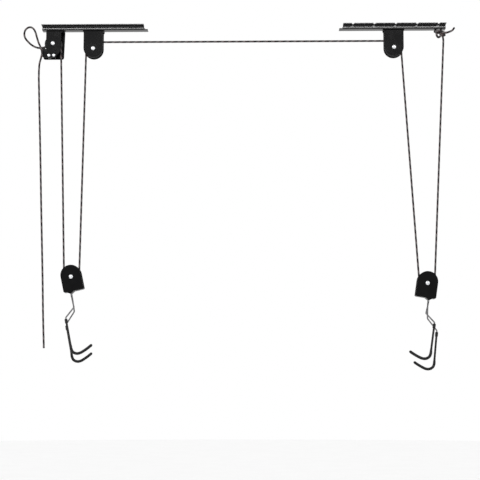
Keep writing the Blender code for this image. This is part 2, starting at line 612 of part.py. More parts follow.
def block_shell(name, x, z, tilt, outer):
    """One shell; outer is -1 when the saddle lies toward -X."""
    half = CHEEK_WIDTH / 2
    foot = -BLOCK_FOOT
    s = SADDLE_HALF
    m = outer * SADDLE_SHIFT
    sag = foot - SADDLE_DROP * 0.08
    lower = [(-half + 0.0022, foot), (m - s, sag), (m - s * 0.60, foot - SADDLE_DROP * 0.62),
             (m - s * 0.25, foot - SADDLE_DROP), (m + s * 0.25, foot - SADDLE_DROP),
             (m + s * 0.60, foot - SADDLE_DROP * 0.62), (m + s, sag), (half - 0.0022, foot)]
    outline = lower + [(half, foot + 0.0022)] + arc(0, CHEEK_ROUND_RISE, half, 0, 180, 16)
    outline += [(-half, foot + 0.0022)]
    bore = arc(0, 0, AXLE_RADIUS + GAP, 0, 337.5, 15)
    obj = slab(name, [outline, bore], YOKE_OUTSIDE, XZ_PLANE, (x, ROPE_Y, z))
    far, top = half + 0.006, CHEEK_ROUND_RISE + half + 0.006
    dip = SADDLE_DROP * 0.62
    floor = [(-far, foot + SHEET), (m - s - 0.0008, sag + SHEET), (m - s * 0.60 - 0.0004, foot + SHEET - dip),
             (m - s * 0.25, foot + SHEET - SADDLE_DROP), (m + s * 0.25, foot + SHEET - SADDLE_DROP),
             (m + s * 0.60 + 0.0004, foot + SHEET - dip), (m + s + 0.0008, sag + SHEET), (far, foot + SHEET),
             (far, top), (-far, top)]
    room = slab(name + "_room", [floor], YOKE_INSIDE, XZ_PLANE, (x, ROPE_Y, z), CUTTERS)
    holes = hole_cutter(name + "_hook_holes", [(x + m, ROPE_Y - HOOK_HALF), (x + m, ROPE_Y + HOOK_HALF)],
                        HOOK_HOLE_RADIUS, z + foot - SADDLE_DROP - 0.002, z + foot + SHEET + 0.002)
    cut(obj, room)
    cut(obj, holes)
    bake(obj)
    turn = tilt_about(x, z, tilt)
    for piece in (obj, room, holes):
        piece.data.transform(turn)
    return finish(obj, "enamel", (x, ROPE_Y, z))


block_shell("left_block_shell", LEFT_BLOCK_X, LEFT_BLOCK_Z, LEFT_BLOCK_TILT, -1)
block_shell("right_block_shell", RIGHT_BLOCK_X, RIGHT_BLOCK_Z, RIGHT_BLOCK_TILT, 1)


# Hooks: one wire, doubled over the saddle, stepped sideways and ending in two bows
def fillet(points, radii, count=4):
    """Round the inner corners of an open 3-D route."""
    out = [Vector(points[0])]
    for i in range(1, len(points) - 1):
        here = Vector(points[i])
        before = (Vector(points[i - 1]) - here).normalized()
        after = (Vector(points[i + 1]) - here).normalized()
        angle = before.angle(after)
        r = radii[i - 1]
        reach = r / math.tan(angle / 2)
        middle = here + (before + after).normalized() * (r / math.sin(angle / 2))
        a = here + before * reach - middle
        b = here + after * reach - middle
        swing = a.angle(b)
        for k in range(count + 1):
            t = k / count
            out.append(middle + (a * math.sin((1 - t) * swing) + b * math.sin(t * swing)) / math.sin(swing))
    out.append(Vector(points[-1]))
    return out


SADDLE_TOP = -BLOCK_FOOT - SADDLE_DROP + SHEET


def hook_leg(side, reach_sign, twist):
    """Centre line of one leg from the crown down, measured from the saddle; side is -1 for the front leg."""
    top = SADDLE_TOP - 0.0002
    neck, knee = HOOK_NECK, HOOK_NECK + HOOK_STEP_DOWN
    foot = knee + HOOK_LEG
    out = -reach_sign * HOOK_STEP_OUT
    corners = [(0, side * HOOK_HALF, top), (0, side * HOOK_HALF, top - 0.008), (0, side * HOOK_SPREAD_NECK, top - neck),
               (out, side * HOOK_SPREAD_KNEE, top - knee), (out, side * HOOK_SPREAD, top - foot)]
    upper = fillet(corners, [0.006, 0.005, 0.005], 3)
    bow = []
    for u, w in ((0.0020, 0.0070), (0.0062, 0.0112), (0.0120, HOOK_BOTTOM), (0.0190, 0.0132), (0.0270, 0.0104),
                 (0.0360, 0.0062), (0.0430, 0.0024), (HOOK_REACH, -0.0006)):
        y_bow = side * (HOOK_SPREAD + 0.0012 * min(1.0, u / 0.02))
        bow.append(Vector((out + reach_sign * u, y_bow, top - foot - w)))

    def twisted(point):
        """Turn about the upright line through the saddle, more and more down to the first bend."""
        part_way = min(1.0, max(0.0, (top - 0.006 - point.z) / (neck - 0.006)))
        return Matrix.Rotation(math.radians(twist * part_way), 4, "Z") @ point

    return [twisted(p) for p in upper], [twisted(p) for p in bow]


def hook_matrix(x, z, tilt, roll, outer):
    """Places a hook drawn from its saddle on a tilted block, and gives its pivot."""
    pivot = Vector((0, 0, SADDLE_TOP - SHEET / 2))
    leaned = Matrix.Translation(pivot) @ Matrix.Rotation(math.radians(-roll), 4, "X") @ Matrix.Translation(-pivot)
    return tilt_about(x, z, tilt) @ Matrix.Translation((x + outer * SADDLE_SHIFT, ROPE_Y, z)) @ leaned, pivot


def hook(name, x, z, tilt, roll, twist, reach_sign):
    """The wire and its two sleeves."""
    world, pivot = hook_matrix(x, z, tilt, roll, -reach_sign)
    front_up, front_bow = hook_leg(-1, reach_sign, twist)
    rear_up, rear_bow = hook_leg(1, reach_sign, twist)
    bight = [Vector((0, HOOK_HALF * -math.cos(math.radians(a)), SADDLE_TOP - 0.0002 + HOOK_HALF * math.sin(math.radians(a))))
             for a in (30, 60, 90, 120, 150)]
    route = list(reversed(front_bow)) + list(reversed(front_up)) + bight + rear_up + rear_bow
    wire = tube(name + "_wire", [world @ p for p in route], WIRE_RADIUS)
    origin = world @ pivot
    finish(wire, "wire", origin)
    for label, upper, bow in (("front", front_up, front_bow), ("rear", rear_up, rear_bow)):
        leg_end = upper[-1]
        path = [upper[-2].lerp(leg_end, 0.02), upper[-2].lerp(leg_end, 0.14), upper[-2].lerp(leg_end, 0.16),
                upper[-2].lerp(leg_end, 0.55), leg_end] + bow
        radii = [SLEEVE_COLLAR, SLEEVE_COLLAR, SLEEVE_LEG, SLEEVE_LEG, SLEEVE_LEG + 0.0003]
        radii += [SLEEVE_LEG + 0.0006, SLEEVE_BOW - 0.0001] + [SLEEVE_BOW] * (len(bow) - 3) + [SLEEVE_BOW - 0.0003]
        tip = bow[-1] + (bow[-1] - bow[-2]).normalized() * 0.0022
        path.append(tip)
        radii.append(SLEEVE_BOW * 0.55)
        sleeve = tube(name + "_sleeve_" + label, [world @ p for p in path], SLEEVE_BOW, radii)
        bore_path = [upper[-2].lerp(leg_end, -0.05)] + path[:-1]
        bore_path[-1] = bow[-1] + (bow[-1] - bow[-2]).normalized() * GAP
        bore = tube(name + "_bore_" + label, [world @ p for p in bore_path], SLEEVE_BORE, None, CUTTERS)
        cut(sleeve, bore)
        finish(sleeve, "vinyl", origin)


hook("left_hook", LEFT_BLOCK_X, LEFT_BLOCK_Z, LEFT_BLOCK_TILT, LEFT_HOOK_ROLL, LEFT_HOOK_TWIST, 1)
hook("right_hook", RIGHT_BLOCK_X, RIGHT_BLOCK_Z, RIGHT_BLOCK_TILT, RIGHT_HOOK_ROLL, RIGHT_HOOK_TWIST, -1)


# Rope
def tangent(c1, s1, r1, c2, s2, r2, up):
    """Points where a straight rope leaves two wheels; the normal points right, or up when up is true."""
    gap_vector = Vector(c2) - Vector(c1)
    phi = math.atan2(gap_vector.y, gap_vector.x)
    swing = math.acos((s1 * r1 - s2 * r2) / gap_vector.length)
    for alpha in (phi + swing, phi - swing):
        normal = Vector((math.cos(alpha), math.sin(alpha)))
        if (normal.y if up else normal.x) > 0:
            return Vector(c1) + s1 * r1 * normal, Vector(c2) + s2 * r2 * normal
    return None


def straight(name, a, b):
    """A taut rope between two points of the rope plane, a hair short at each end."""
    a, b = Vector((a.x, ROPE_Y, a.y)), Vector((b.x, ROPE_Y, b.y))
    d = (b - a).normalized() * GAP / 2
    obj = tube(name, [a + d, b - d], ROPE_RADIUS)
    return finish(obj, "rope", b if b.z > a.z else a)


def angle_of(centre, point):
    return math.degrees(math.atan2(point.y - centre[1], point.x - centre[0]))


def wrap(name, centre, start, end, count, tail=()):
    """Rope round a wheel between two angles."""
    ring = arc(centre[0], centre[1], ROPE_TURN, start, end, count)
    nib = 1.2 if end > start else -1.2
    ring[1:1] = arc(centre[0], centre[1], ROPE_TURN, start + nib, start + nib, 1)[:1]
    ring[-1:-1] = arc(centre[0], centre[1], ROPE_TURN, end - nib, end - nib, 1)[:1]
    points = [Vector((px, ROPE_Y, pz)) for px, pz in ring]
    points += [Vector((centre[0] + tx, ROPE_Y, centre[1] + tz)) for tx, tz in tail]
    obj = tube(name, points, ROPE_RADIUS)
    return finish(obj, "rope", (centre[0], ROPE_Y, centre[1]))


LEFT_BLOCK = (LEFT_BLOCK_X, LEFT_BLOCK_Z)
RIGHT_BLOCK = (RIGHT_BLOCK_X, RIGHT_BLOCK_Z)
LEFT_FIXED = (LEFT_FIXED_X, -FIXED_AXLE_DEPTH)
RIGHT_FIXED = (RIGHT_FIXED_X, -FIXED_AXLE_DEPTH)
BRAKE = (BRAKE_X, -BRAKE_AXLE_DEPTH)

a_low, a_top = tangent(RIGHT_BLOCK, 1, ROPE_TURN, (ANCHOR_X, ANCHOR_FALL_TOP), 1, 0.0, False)
b_low, b_top = tangent(RIGHT_BLOCK, -1, ROPE_TURN, RIGHT_FIXED, 1, ROPE_TURN, False)
c_right, c_left = tangent(RIGHT_FIXED, 1, ROPE_TURN, LEFT_FIXED, 1, ROPE_TURN, True)
d_low, d_top = tangent(LEFT_BLOCK, 1, ROPE_TURN, LEFT_FIXED, -1, ROPE_TURN, False)
e_low, e_top = tangent(LEFT_BLOCK, -1, ROPE_TURN, BRAKE, 1, ROPE_TURN, False)

straight("rope_fall_anchor", a_low, a_top)
straight("rope_fall_right_inner", b_low, b_top)
straight("rope_run_level", c_left, c_right)
straight("rope_fall_left_inner", d_low, d_top)
straight("rope_fall_left_outer", e_low, e_top)


def full(angle, low):
    """An angle brought into the turn that starts at low."""
    return low + (angle - low) % 360


wrap("rope_wrap_right_block", RIGHT_BLOCK, full(angle_of(RIGHT_BLOCK, b_low), 90),
     full(angle_of(RIGHT_BLOCK, a_low), 270), 14)
wrap("rope_wrap_right_fixed", RIGHT_FIXED, angle_of(RIGHT_FIXED, b_top), angle_of(RIGHT_FIXED, c_right), 8)
wrap("rope_wrap_left_fixed", LEFT_FIXED, angle_of(LEFT_FIXED, c_left), full(angle_of(LEFT_FIXED, d_top), 90), 8)
wrap("rope_wrap_left_block", LEFT_BLOCK, full(angle_of(LEFT_BLOCK, e_low), 90),
     full(angle_of(LEFT_BLOCK, d_low), 270), 14)
exit_bend = [(-0.0255 + 0.0070 * math.cos(math.radians(a)), -0.0010 + 0.0070 * math.sin(math.radians(a)))
             for a in (0, -18, -36, -54, -72, -90)][1:] + [(-0.0259, -0.0080)]
wrap("rope_wrap_brake", BRAKE, angle_of(BRAKE, e_top), 180, 14, exit_bend)

# Rope end tied to the anchor rail through two holes in the channel floor
ANCHOR_ROUTE = (
    (ANCHOR_X, 0.0, ANCHOR_FALL_TOP + GAP), (ANCHOR_X + 0.0002, 0.0, -0.0340), (ANCHOR_X - 0.0022, 0.0, -0.0250),
    (ANCHOR_HOLE_A + 0.0004, 0.0, -0.0160), (ANCHOR_HOLE_A, 0.0, -0.0110), (ANCHOR_HOLE_A - 0.0016, 0.0, -0.0062),
    (ANCHOR_HOLE_A - 0.0067, 0.0, -0.0038), (ANCHOR_HOLE_B + 0.0016, 0.0, -0.0062), (ANCHOR_HOLE_B, 0.0, -0.0110),
    (ANCHOR_HOLE_B - 0.0010, -0.0006, -0.0180), (ANCHOR_HOLE_B + 0.0010, -0.0030, -0.0245),
    (ANCHOR_HOLE_B + 0.0070, -0.0052, -0.0278), (ANCHOR_X - 0.0080, -0.0058, -0.0272),
    (ANCHOR_X - 0.0012, -0.0060, -0.0268), (ANCHOR_X + 0.0036, -0.0030, -0.0268), (ANCHOR_X + 0.0040, 0.0028, -0.0262),
    (ANCHOR_X - 0.0030, 0.0060, -0.0238), (ANCHOR_X - 0.0092, 0.0036, -0.0206), (ANCHOR_X - 0.0094, -0.0024, -0.0196),
    (ANCHOR_X - 0.0030, -0.0058, -0.0196), (ANCHOR_X + 0.0050, -0.0054, -0.0196), (ANCHOR_X + 0.0140, -0.0040, -0.0170),
    (ANCHOR_X + 0.0220, -0.0030, -0.0120), (ANCHOR_X + 0.0275, -0.0025, -0.0055),
)
route = [(px, ROPE_Y + py, pz) for px, py, pz in ANCHOR_ROUTE]
points, _ = smooth_route(route, 50)
finish(tube("rope_anchor_hitch", points, ROPE_RADIUS), "rope", points[0])

# Pull rope
route = [(BRAKE_X + px, ROPE_Y + py, -BRAKE_AXLE_DEPTH + pz) for px, py, pz in PULL_ROUTE]
points, PULL_LENGTH = smooth_route(route, PULL_POINTS)
finish(tube("pull_rope", points, ROPE_RADIUS), "rope", points[0])

bpy.context.view_layer.update()
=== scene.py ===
"""Dresses the bike hoist: enamelled rails and blocks, zinc rivets, nylon wheels, hooks and braided rope."""

import logging
import math
from collections.abc import Callable, Iterable, Sequence
from dataclasses import dataclass, field
from enum import Enum
from typing import Protocol

import bmesh
import bpy
from mathutils import Matrix, Vector


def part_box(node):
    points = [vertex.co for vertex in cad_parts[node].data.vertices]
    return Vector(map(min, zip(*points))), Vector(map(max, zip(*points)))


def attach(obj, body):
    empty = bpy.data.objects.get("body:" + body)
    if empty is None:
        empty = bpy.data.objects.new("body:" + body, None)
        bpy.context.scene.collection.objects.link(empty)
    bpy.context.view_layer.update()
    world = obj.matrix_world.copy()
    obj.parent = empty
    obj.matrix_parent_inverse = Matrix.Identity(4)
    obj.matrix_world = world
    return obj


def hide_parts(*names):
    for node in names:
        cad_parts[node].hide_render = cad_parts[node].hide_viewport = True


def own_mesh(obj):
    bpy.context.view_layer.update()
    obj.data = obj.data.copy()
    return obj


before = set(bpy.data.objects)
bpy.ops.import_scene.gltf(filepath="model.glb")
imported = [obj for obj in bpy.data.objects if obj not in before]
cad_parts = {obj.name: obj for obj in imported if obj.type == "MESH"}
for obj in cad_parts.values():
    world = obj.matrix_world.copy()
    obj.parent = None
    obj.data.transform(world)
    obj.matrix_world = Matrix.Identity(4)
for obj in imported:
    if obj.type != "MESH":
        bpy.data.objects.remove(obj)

LOG = logging.getLogger("bike_hoist")

ROPE_PLANE = 0.0155         # Y of the plane in which the rope runs
ROPE_RADIUS = 0.0022        # of the CAD model's smooth rope
BRAID_RADIUS = 0.00235      # over the crossings of the braid
LAY = 0.018                 # length of rope in which a yarn goes once round
CARRIERS = 8                # yarns of each hand of the braid
LEG_STEPS = 10              # points along a hook's straight leg
SHARP = 38                  # degrees, the flattest corner that stays sharp
ROPE_TURN = 0.0185          # radius of the rope's centre line round a wheel
CHEEK_GAP = 0.0154          # between the two cheeks of a block, yoke or housing
SHEET = 0.0018              # thickness of their steel
AIR = 0.0003                # the gap that neighbouring pieces keep

# Each wheel with the body that turns with it.
WHEELS = {"brake": "brake_pulley", "left_fixed": "left_pulley", "right_fixed": "right_pulley",
          "left_block": "left_wheel", "right_block": "right_wheel"}


class Rope(Enum):
    """The straight falls of rope, each with the lift joint that shortens it."""

    ANCHOR = ("rope_fall_anchor", "right_block_lift")
    RIGHT_INNER = ("rope_fall_right_inner", "right_block_lift")
    LEFT_INNER = ("rope_fall_left_inner", "left_block_lift")
    LEFT_OUTER = ("rope_fall_left_outer", "left_block_lift")


class Side(Enum):
    """The two hanging blocks; the value is the way the hook's bows point along X."""

    LEFT = 1
    RIGHT = -1


class Bench:
    """A material on the work bench: a short hand for adding and joining its nodes."""

    def __init__(self, name: str) -> None:
        """Starts a material with one Principled shader.

        Args:
            name: the material's name.
        """
        self.material = bpy.data.materials.new(name)
        self.material.use_nodes = True
        self.tree = self.material.node_tree
        self.shader = self.tree.nodes["Principled BSDF"]

    def add(self, kind: str, **settings: object) -> bpy.types.Node:
        """Adds a node.

        Args:
            kind: the node's type without its ShaderNode prefix.
            **settings: values for the node's own properties.

        Returns:
            The new node.
        """
        node = self.tree.nodes.new("ShaderNode" + kind)
        for key, value in settings.items():
            setattr(node, key, value)
        return node

    def feed(self, node: bpy.types.Node, **inputs: object) -> bpy.types.Node:
        """Sets or links a node's inputs by name or by in0, in1 and so on.

        Args:
            node: the node to feed.
            **inputs: a socket to link, or a value to set.

        Returns:
            The same node.
        """
        for key, value in inputs.items():
            numbered = key.startswith("in") and key[2:].isdigit()
            socket = node.inputs[int(key[2:]) if numbered else key]
            if isinstance(value, bpy.types.NodeSocket):
                self.tree.links.new(value, socket)
            else:
                socket.default_value = value
        return node

    def math(self, operation: str, *values: object) -> bpy.types.NodeSocket:
        """Adds one Math node and returns its output."""
        inputs = {f"in{i}": value for i, value in enumerate(values)}
        return self.feed(self.add("Math", operation=operation), **inputs).outputs[0]

    def grain(self, scale: float, detail: float,
              stretch: Sequence[float] = (1.0, 1.0, 1.0)) -> bpy.types.NodeSocket:
        """Makes a noise in object space.

        Args:
            scale: cells in a metre.
            detail: octaves of the noise.
            stretch: scale along each axis.

        Returns:
            The noise's factor socket.
        """
        place = self.add("TexCoord").outputs["Object"]
        spread = self.feed(self.add("Mapping"), Vector=place, Scale=tuple(stretch)).outputs[0]
        noise = self.feed(self.add("TexNoise"), Vector=spread, Scale=scale, Detail=detail, Roughness=0.55)
        return noise.outputs[0]

    def between(self, factor: bpy.types.NodeSocket, low: float, high: float,
                from_low: float = 0.35, from_high: float = 0.65) -> bpy.types.NodeSocket:
        """Maps a factor onto a range of values, with its ends held."""
        node = self.feed(self.add("MapRange"), in0=factor, in1=from_low, in2=from_high, in3=low, in4=high)
        return node.outputs[0]

    def blend(self, factor: bpy.types.NodeSocket, low: object, high: object) -> bpy.types.NodeSocket:
        """Mixes two colours.

        Args:
            factor: 0 for the low colour and 1 for the high one.
            low: a colour, or a socket that gives one.
            high: the same for the other colour.

        Returns:
            The mixed colour's socket.
        """
        node = self.add("Mix", data_type="RGBA")
        slots = [s for s in node.inputs if s.type == "RGBA"]
        self.tree.links.new(factor, node.inputs[0])
        for slot, value in zip(slots, (low, high)):
            if isinstance(value, bpy.types.NodeSocket):
                self.tree.links.new(value, slot)
            else:
                slot.default_value = (*value, 1.0)
        return next(s for s in node.outputs if s.type == "RGBA")

    def edges(self, radius: float) -> tuple[bpy.types.NodeSocket, bpy.types.NodeSocket]:
        """Rounds the shading of sharp edges.

        Args:
            radius: the radius of the rounding, in metres.

        Returns:
            The rounded normal, and a mask that is 1 on the edges.
        """
        soft = self.feed(self.add("Bevel", samples=6), Radius=radius).outputs[0]
        flat = self.add("NewGeometry").outputs["True Normal"]
        dot = self.feed(self.add("VectorMath", operation="DOT_PRODUCT"), in0=soft, in1=flat).outputs["Value"]
        return soft, self.between(dot, 1.0, 0.0, 0.80, 0.985)

    def bump(self, height: bpy.types.NodeSocket, distance: float, strength: float,
             normal: bpy.types.NodeSocket | None = None) -> bpy.types.NodeSocket:
        """Makes a bump of a height.

        Args:
            height: the height's socket.
            distance: how far the full height stands out, in metres.
            strength: how strongly it bends the light, from 0 to 1.
            normal: the normal that it lies on, if there is one.

        Returns:
            The bent normal.
        """
        under = {} if normal is None else {"Normal": normal}
        return self.feed(self.add("Bump"), Height=height, Distance=distance, Strength=strength,
                         **under).outputs[0]

    def finish(self, **inputs: object) -> bpy.types.Material:
        """Feeds the shader and returns the material.

        Args:
            **inputs: Principled inputs, with underscores for spaces.

        Returns:
            The finished material.
        """
        self.feed(self.shader, **{key.replace("_", " "): value for key, value in inputs.items()})
        return self.material


@dataclass(frozen=True)
class BlackEnamel:
    """Gloss black stoving enamel on pressed steel, with orange peel, dust and rubbed edges."""

    name: str = "black_enamel"
    colour: tuple[float, float, float] = (0.0018, 0.0018, 0.0020)
    rub: tuple[float, float, float] = (0.050, 0.050, 0.051)         # colour of a rubbed edge
    mote: tuple[float, float, float] = (0.03, 0.0295, 0.028)        # colour of the dust
    edge: float = 0.00045           # radius of the rounding, in metres
    gloss: float = 0.24             # roughness where it is smoothest
    peel: float = 0.30              # strength of the orange peel
    shine: float = 0.08             # level of the reflection
    coat: float = 0.0               # weight of the clear layer on top
    dust: float = 0.25              # how much of the dust's colour shows

    def make(self) -> bpy.types.Material:
        """Builds the material.

        Returns:
            The material.
        """
        bench = Bench(self.name)
        rounded, worn = bench.edges(self.edge)
        patches = bench.grain(55, 5)
        skin = bench.grain(900, 2)
        motes = bench.grain(2600, 3)
        wear = bench.math("MULTIPLY", worn, bench.between(patches, 0.0, 0.55, 0.42, 0.60))
        speck = bench.between(motes, 0.0, 1.0, 0.66, 0.74)
        lighter = tuple(c * 1.45 for c in self.colour)
        tone = bench.blend(bench.between(patches, 0.0, 1.0), self.colour, lighter)
        tone = bench.blend(wear, tone, self.rub)
        tone = bench.blend(bench.math("MULTIPLY", speck, self.dust), tone, self.mote)
        rough = bench.between(patches, self.gloss, self.gloss + 0.12)
        rough = bench.math("ADD", rough, bench.math("MULTIPLY", wear, 0.25))
        relief = bench.bump(skin, 0.00006, self.peel, rounded)
        return bench.finish(Base_Color=tone, Roughness=rough, Normal=relief, Specular_IOR_Level=self.shine,
                            Coat_Weight=self.coat, Coat_Roughness=0.10, IOR=1.5)


@dataclass(frozen=True)
class RailEnamel(BlackEnamel):
    """The same enamel on the rails, smoother and glossier, so that their walls mirror the strip lamp."""

    name: str = "rail_enamel"
    gloss: float = 0.12
    peel: float = 0.03
    shine: float = 0.35
    coat: float = 0.30
    dust: float = 0.06


@dataclass(frozen=True)
class BrightZinc:
    """Bright zinc plate on a rivet head, with fine turning marks and a few dull spots."""

    name: str = "bright_zinc"
    colour: tuple[float, float, float] = (0.76, 0.77, 0.78)
    dull: tuple[float, float, float] = (0.46, 0.47, 0.49)

    def make(self) -> bpy.types.Material:
        """Builds the material.

        Returns:
            The material.
        """
        bench = Bench(self.name)
        spots = bench.grain(420, 4)
        marks = bench.grain(1400, 3, (1.0, 6.0, 1.0))
        tone = bench.blend(bench.between(spots, 0.0, 0.8, 0.45, 0.62), self.colour, self.dull)
        relief = bench.bump(marks, 0.00004, 0.3)
        rough = bench.between(spots, 0.28, 0.42)
        return bench.finish(Base_Color=tone, Metallic=1.0, Roughness=rough, Normal=relief)


@dataclass(frozen=True)
class SatinNylon:
    """Moulded black nylon of the pulley wheels, with faint lighter scuffs scattered at random."""

    name: str = "satin_nylon"
    colour: tuple[float, float, float] = (0.0065, 0.0065, 0.0069)
    scuffed: tuple[float, float, float] = (0.030, 0.030, 0.0312)

    def make(self) -> bpy.types.Material:
        """Builds the material.

        Returns:
            The material.
        """
        bench = Bench(self.name)
        cloud = bench.grain(160, 4)
        skin = bench.grain(3000, 2)
        scuff = bench.between(bench.grain(700, 5), 0.0, 1.0, 0.60, 0.72)
        tone = bench.blend(bench.between(cloud, 0.0, 1.0), self.colour, tuple(c * 1.7 for c in self.colour))
        tone = bench.blend(bench.math("MULTIPLY", scuff, 0.35), tone, self.scuffed)
        relief = bench.bump(skin, 0.00005, 0.4)
        return bench.finish(Base_Color=tone, Roughness=bench.between(cloud, 0.36, 0.55), Normal=relief,
                            Specular_IOR_Level=0.25)


@dataclass(frozen=True)
class DrawnWire:
    """Bare drawn steel wire with lengthwise die lines and a light oxide bloom."""

    name: str = "drawn_wire"
    colour: tuple[float, float, float] = (0.19, 0.19, 0.194)
    oxide: tuple[float, float, float] = (0.075, 0.073, 0.071)

    def make(self) -> bpy.types.Material:
        """Builds the material.

        Returns:
            The material.
        """
        bench = Bench(self.name)
        unrolled = bench.add("TexCoord").outputs["UV"]
        across = bench.feed(bench.add("Mapping"), Vector=unrolled, Scale=(38.0, 30.0, 1.0))
        lines = bench.feed(bench.add("TexNoise"), Vector=across.outputs[0], Scale=1.0, Detail=3.0).outputs[0]
        bloom = bench.grain(260, 5)
        tone = bench.blend(bench.between(bloom, 0.0, 0.85, 0.46, 0.66), self.colour, self.oxide)
        relief = bench.bump(lines, 0.00005, 0.45)
        rough = bench.between(bloom, 0.26, 0.46)
        return bench.finish(Base_Color=tone, Metallic=1.0, Roughness=rough, Normal=relief)


@dataclass(frozen=True)
class DippedVinyl:
    """Soft black vinyl of the dipped hook sleeves, with a faint skin and handling marks."""

    name: str = "dipped_vinyl"
    colour: tuple[float, float, float] = (0.0042, 0.0042, 0.0045)
    handled: tuple[float, float, float] = (0.016, 0.016, 0.0165)

    def make(self) -> bpy.types.Material:
        """Builds the material.

        Returns:
            The material.
        """
        bench = Bench(self.name)
        wave = bench.grain(120, 3)
        skin = bench.grain(1900, 3)
        marks = bench.between(bench.grain(380, 5), 0.0, 1.0, 0.58, 0.70)
        tone = bench.blend(bench.math("MULTIPLY", marks, 0.5), self.colour, self.handled)
        relief = bench.bump(skin, 0.00006, 0.35, bench.bump(wave, 0.0004, 0.25))
        rough = bench.math("ADD", bench.between(wave, 0.34, 0.46), bench.math("MULTIPLY", marks, 0.12))
        return bench.finish(Base_Color=tone, Roughness=rough, Normal=relief, Specular_IOR_Level=0.20)


@dataclass(frozen=True)
class BlackenedCast:
    """Blackened casting of the brake cam, its tooth tips and edges worn toward bare metal."""

    name: str = "blackened_cast"
    colour: tuple[float, float, float] = (0.0055, 0.0055, 0.0059)
    bare: tuple[float, float, float] = (0.13, 0.13, 0.133)

    def make(self) -> bpy.types.Material:
        """Builds the material.

        Returns:
            The material.
        """
        bench = Bench(self.name)
        rounded, worn = bench.edges(0.0004)
        sand = bench.grain(1500, 4)
        cloud = bench.grain(180, 4)
        wear = bench.math("MULTIPLY", worn, bench.between(cloud, 0.1, 0.7))
        tone = bench.blend(bench.between(cloud, 0.0, 1.0), self.colour, tuple(c * 1.6 for c in self.colour))
        tone = bench.blend(wear, tone, self.bare)
        relief = bench.bump(sand, 0.00012, 0.5, rounded)
        return bench.finish(Base_Color=tone, Roughness=bench.between(sand, 0.38, 0.58), Normal=relief,
                            Specular_IOR_Level=0.20)


@dataclass(frozen=True)
class BraidedCord:
    """Black diamond braid with a light and a reddish tracer yarn.

    The mesh's UV map runs once round the rope in U and along it in metres in V.
    """

    name: str = "braided_cord"
    black: tuple[float, float, float] = (0.009, 0.0083, 0.0086)
    light: tuple[float, float, float] = (0.235, 0.212, 0.208)
    red: tuple[float, float, float] = (0.10, 0.028, 0.031)
    fuzz: tuple[float, float, float] = (0.040, 0.037, 0.037)
    pale_yarns: int = 3

    def yarn(self, bench: Bench,
             turn: bpy.types.NodeSocket) -> tuple[bpy.types.NodeSocket, bpy.types.NodeSocket]:
        """Splits a turn coordinate into yarns.

        Args:
            bench: the material.
            turn: turns round the rope along one hand of the braid.

        Returns:
            The yarn's number, and how high its crown stands from 0 to 1.
        """
        along = bench.math("MULTIPLY", turn, float(CARRIERS))
        number = bench.math("FLOOR", along)
        off = bench.math("MULTIPLY", bench.math("SUBTRACT", bench.math("SUBTRACT", along, number), 0.5), 2.0)
        left = bench.math("SUBTRACT", 1.0, bench.math("MULTIPLY", off, off))
        return number, bench.math("SQRT", bench.math("MAXIMUM", left, 0.0))

    def make(self) -> bpy.types.Material:
        """Builds the material.

        Returns:
            The material.
        """
        bench = Bench(self.name)
        parts = bench.feed(bench.add("SeparateXYZ"), Vector=bench.add("TexCoord").outputs["UV"])
        climb = bench.math("DIVIDE", parts.outputs[1], LAY)
        first, high = self.yarn(bench, bench.math("ADD", parts.outputs[0], climb))
        second, low = self.yarn(bench, bench.math("SUBTRACT", parts.outputs[0], climb))
        over = bench.math("FLOORED_MODULO", bench.math("ADD", first, second), 2.0)
        fibre = bench.grain(5200, 3)
        wisps = bench.grain(240, 4)
        carrier = bench.math("FLOORED_MODULO", first, float(CARRIERS))
        light = bench.math("MULTIPLY", bench.math("LESS_THAN", carrier, self.pale_yarns - 0.5), over)
        red = bench.math("MULTIPLY", bench.math("COMPARE", carrier, float(self.pale_yarns), 0.25), over)
        base = bench.blend(bench.between(wisps, 0.0, 1.0), self.black, tuple(c * 2.2 for c in self.black))
        base = bench.blend(bench.math("MULTIPLY", red, 0.9), base, self.red)
        base = bench.blend(bench.math("MULTIPLY", light, 0.9), base, self.light)
        tone = bench.blend(bench.between(fibre, 0.0, 0.22), base, self.fuzz)
        crown_a = bench.math("MULTIPLY", high, over)
        crown_b = bench.math("MULTIPLY", low, bench.math("SUBTRACT", 1.0, over))
        height = bench.math("ADD", bench.math("ADD", crown_a, crown_b), bench.math("MULTIPLY", fibre, 0.25))
        relief = bench.bump(height, 0.00035, 0.8)
        return bench.finish(Base_Color=tone, Roughness=bench.between(fibre, 0.70, 0.92), Normal=relief,
                            Specular_IOR_Level=0.20, Sheen_Weight=0.05, Sheen_Roughness=0.4)


@dataclass(frozen=True)
class MeltedEnd:
    """The black glassy bead where a cut rope end was melted shut."""

    name: str = "melted_end"
    colour: tuple[float, float, float] = (0.010, 0.0095, 0.0095)
    lump: tuple[float, float, float] = (0.035, 0.030, 0.030)

    def make(self) -> bpy.types.Material:
        """Builds the material.

        Returns:
            The material.
        """
        bench = Bench(self.name)
        lumps = bench.grain(900, 3)
        tone = bench.blend(bench.between(lumps, 0.0, 1.0), self.colour, self.lump)
        relief = bench.bump(lumps, 0.0002, 0.5)
        return bench.finish(Base_Color=tone, Roughness=bench.between(lumps, 0.25, 0.5), Normal=relief)


@dataclass(frozen=True)
class StudioPaper:
    """Matt pale paper of the floor."""

    name: str = "studio_paper"
    colour: tuple[float, float, float] = (0.96, 0.96, 0.96)

    def make(self) -> bpy.types.Material:
        """Builds the material.

        Returns:
            The material.
        """
        bench = Bench(self.name)
        cloud = bench.grain(2, 2)
        tone = bench.blend(bench.between(cloud, 0.0, 1.0), self.colour, tuple(c * 0.985 for c in self.colour))
        return bench.finish(Base_Color=tone, Roughness=0.9, Specular_IOR_Level=0.1)


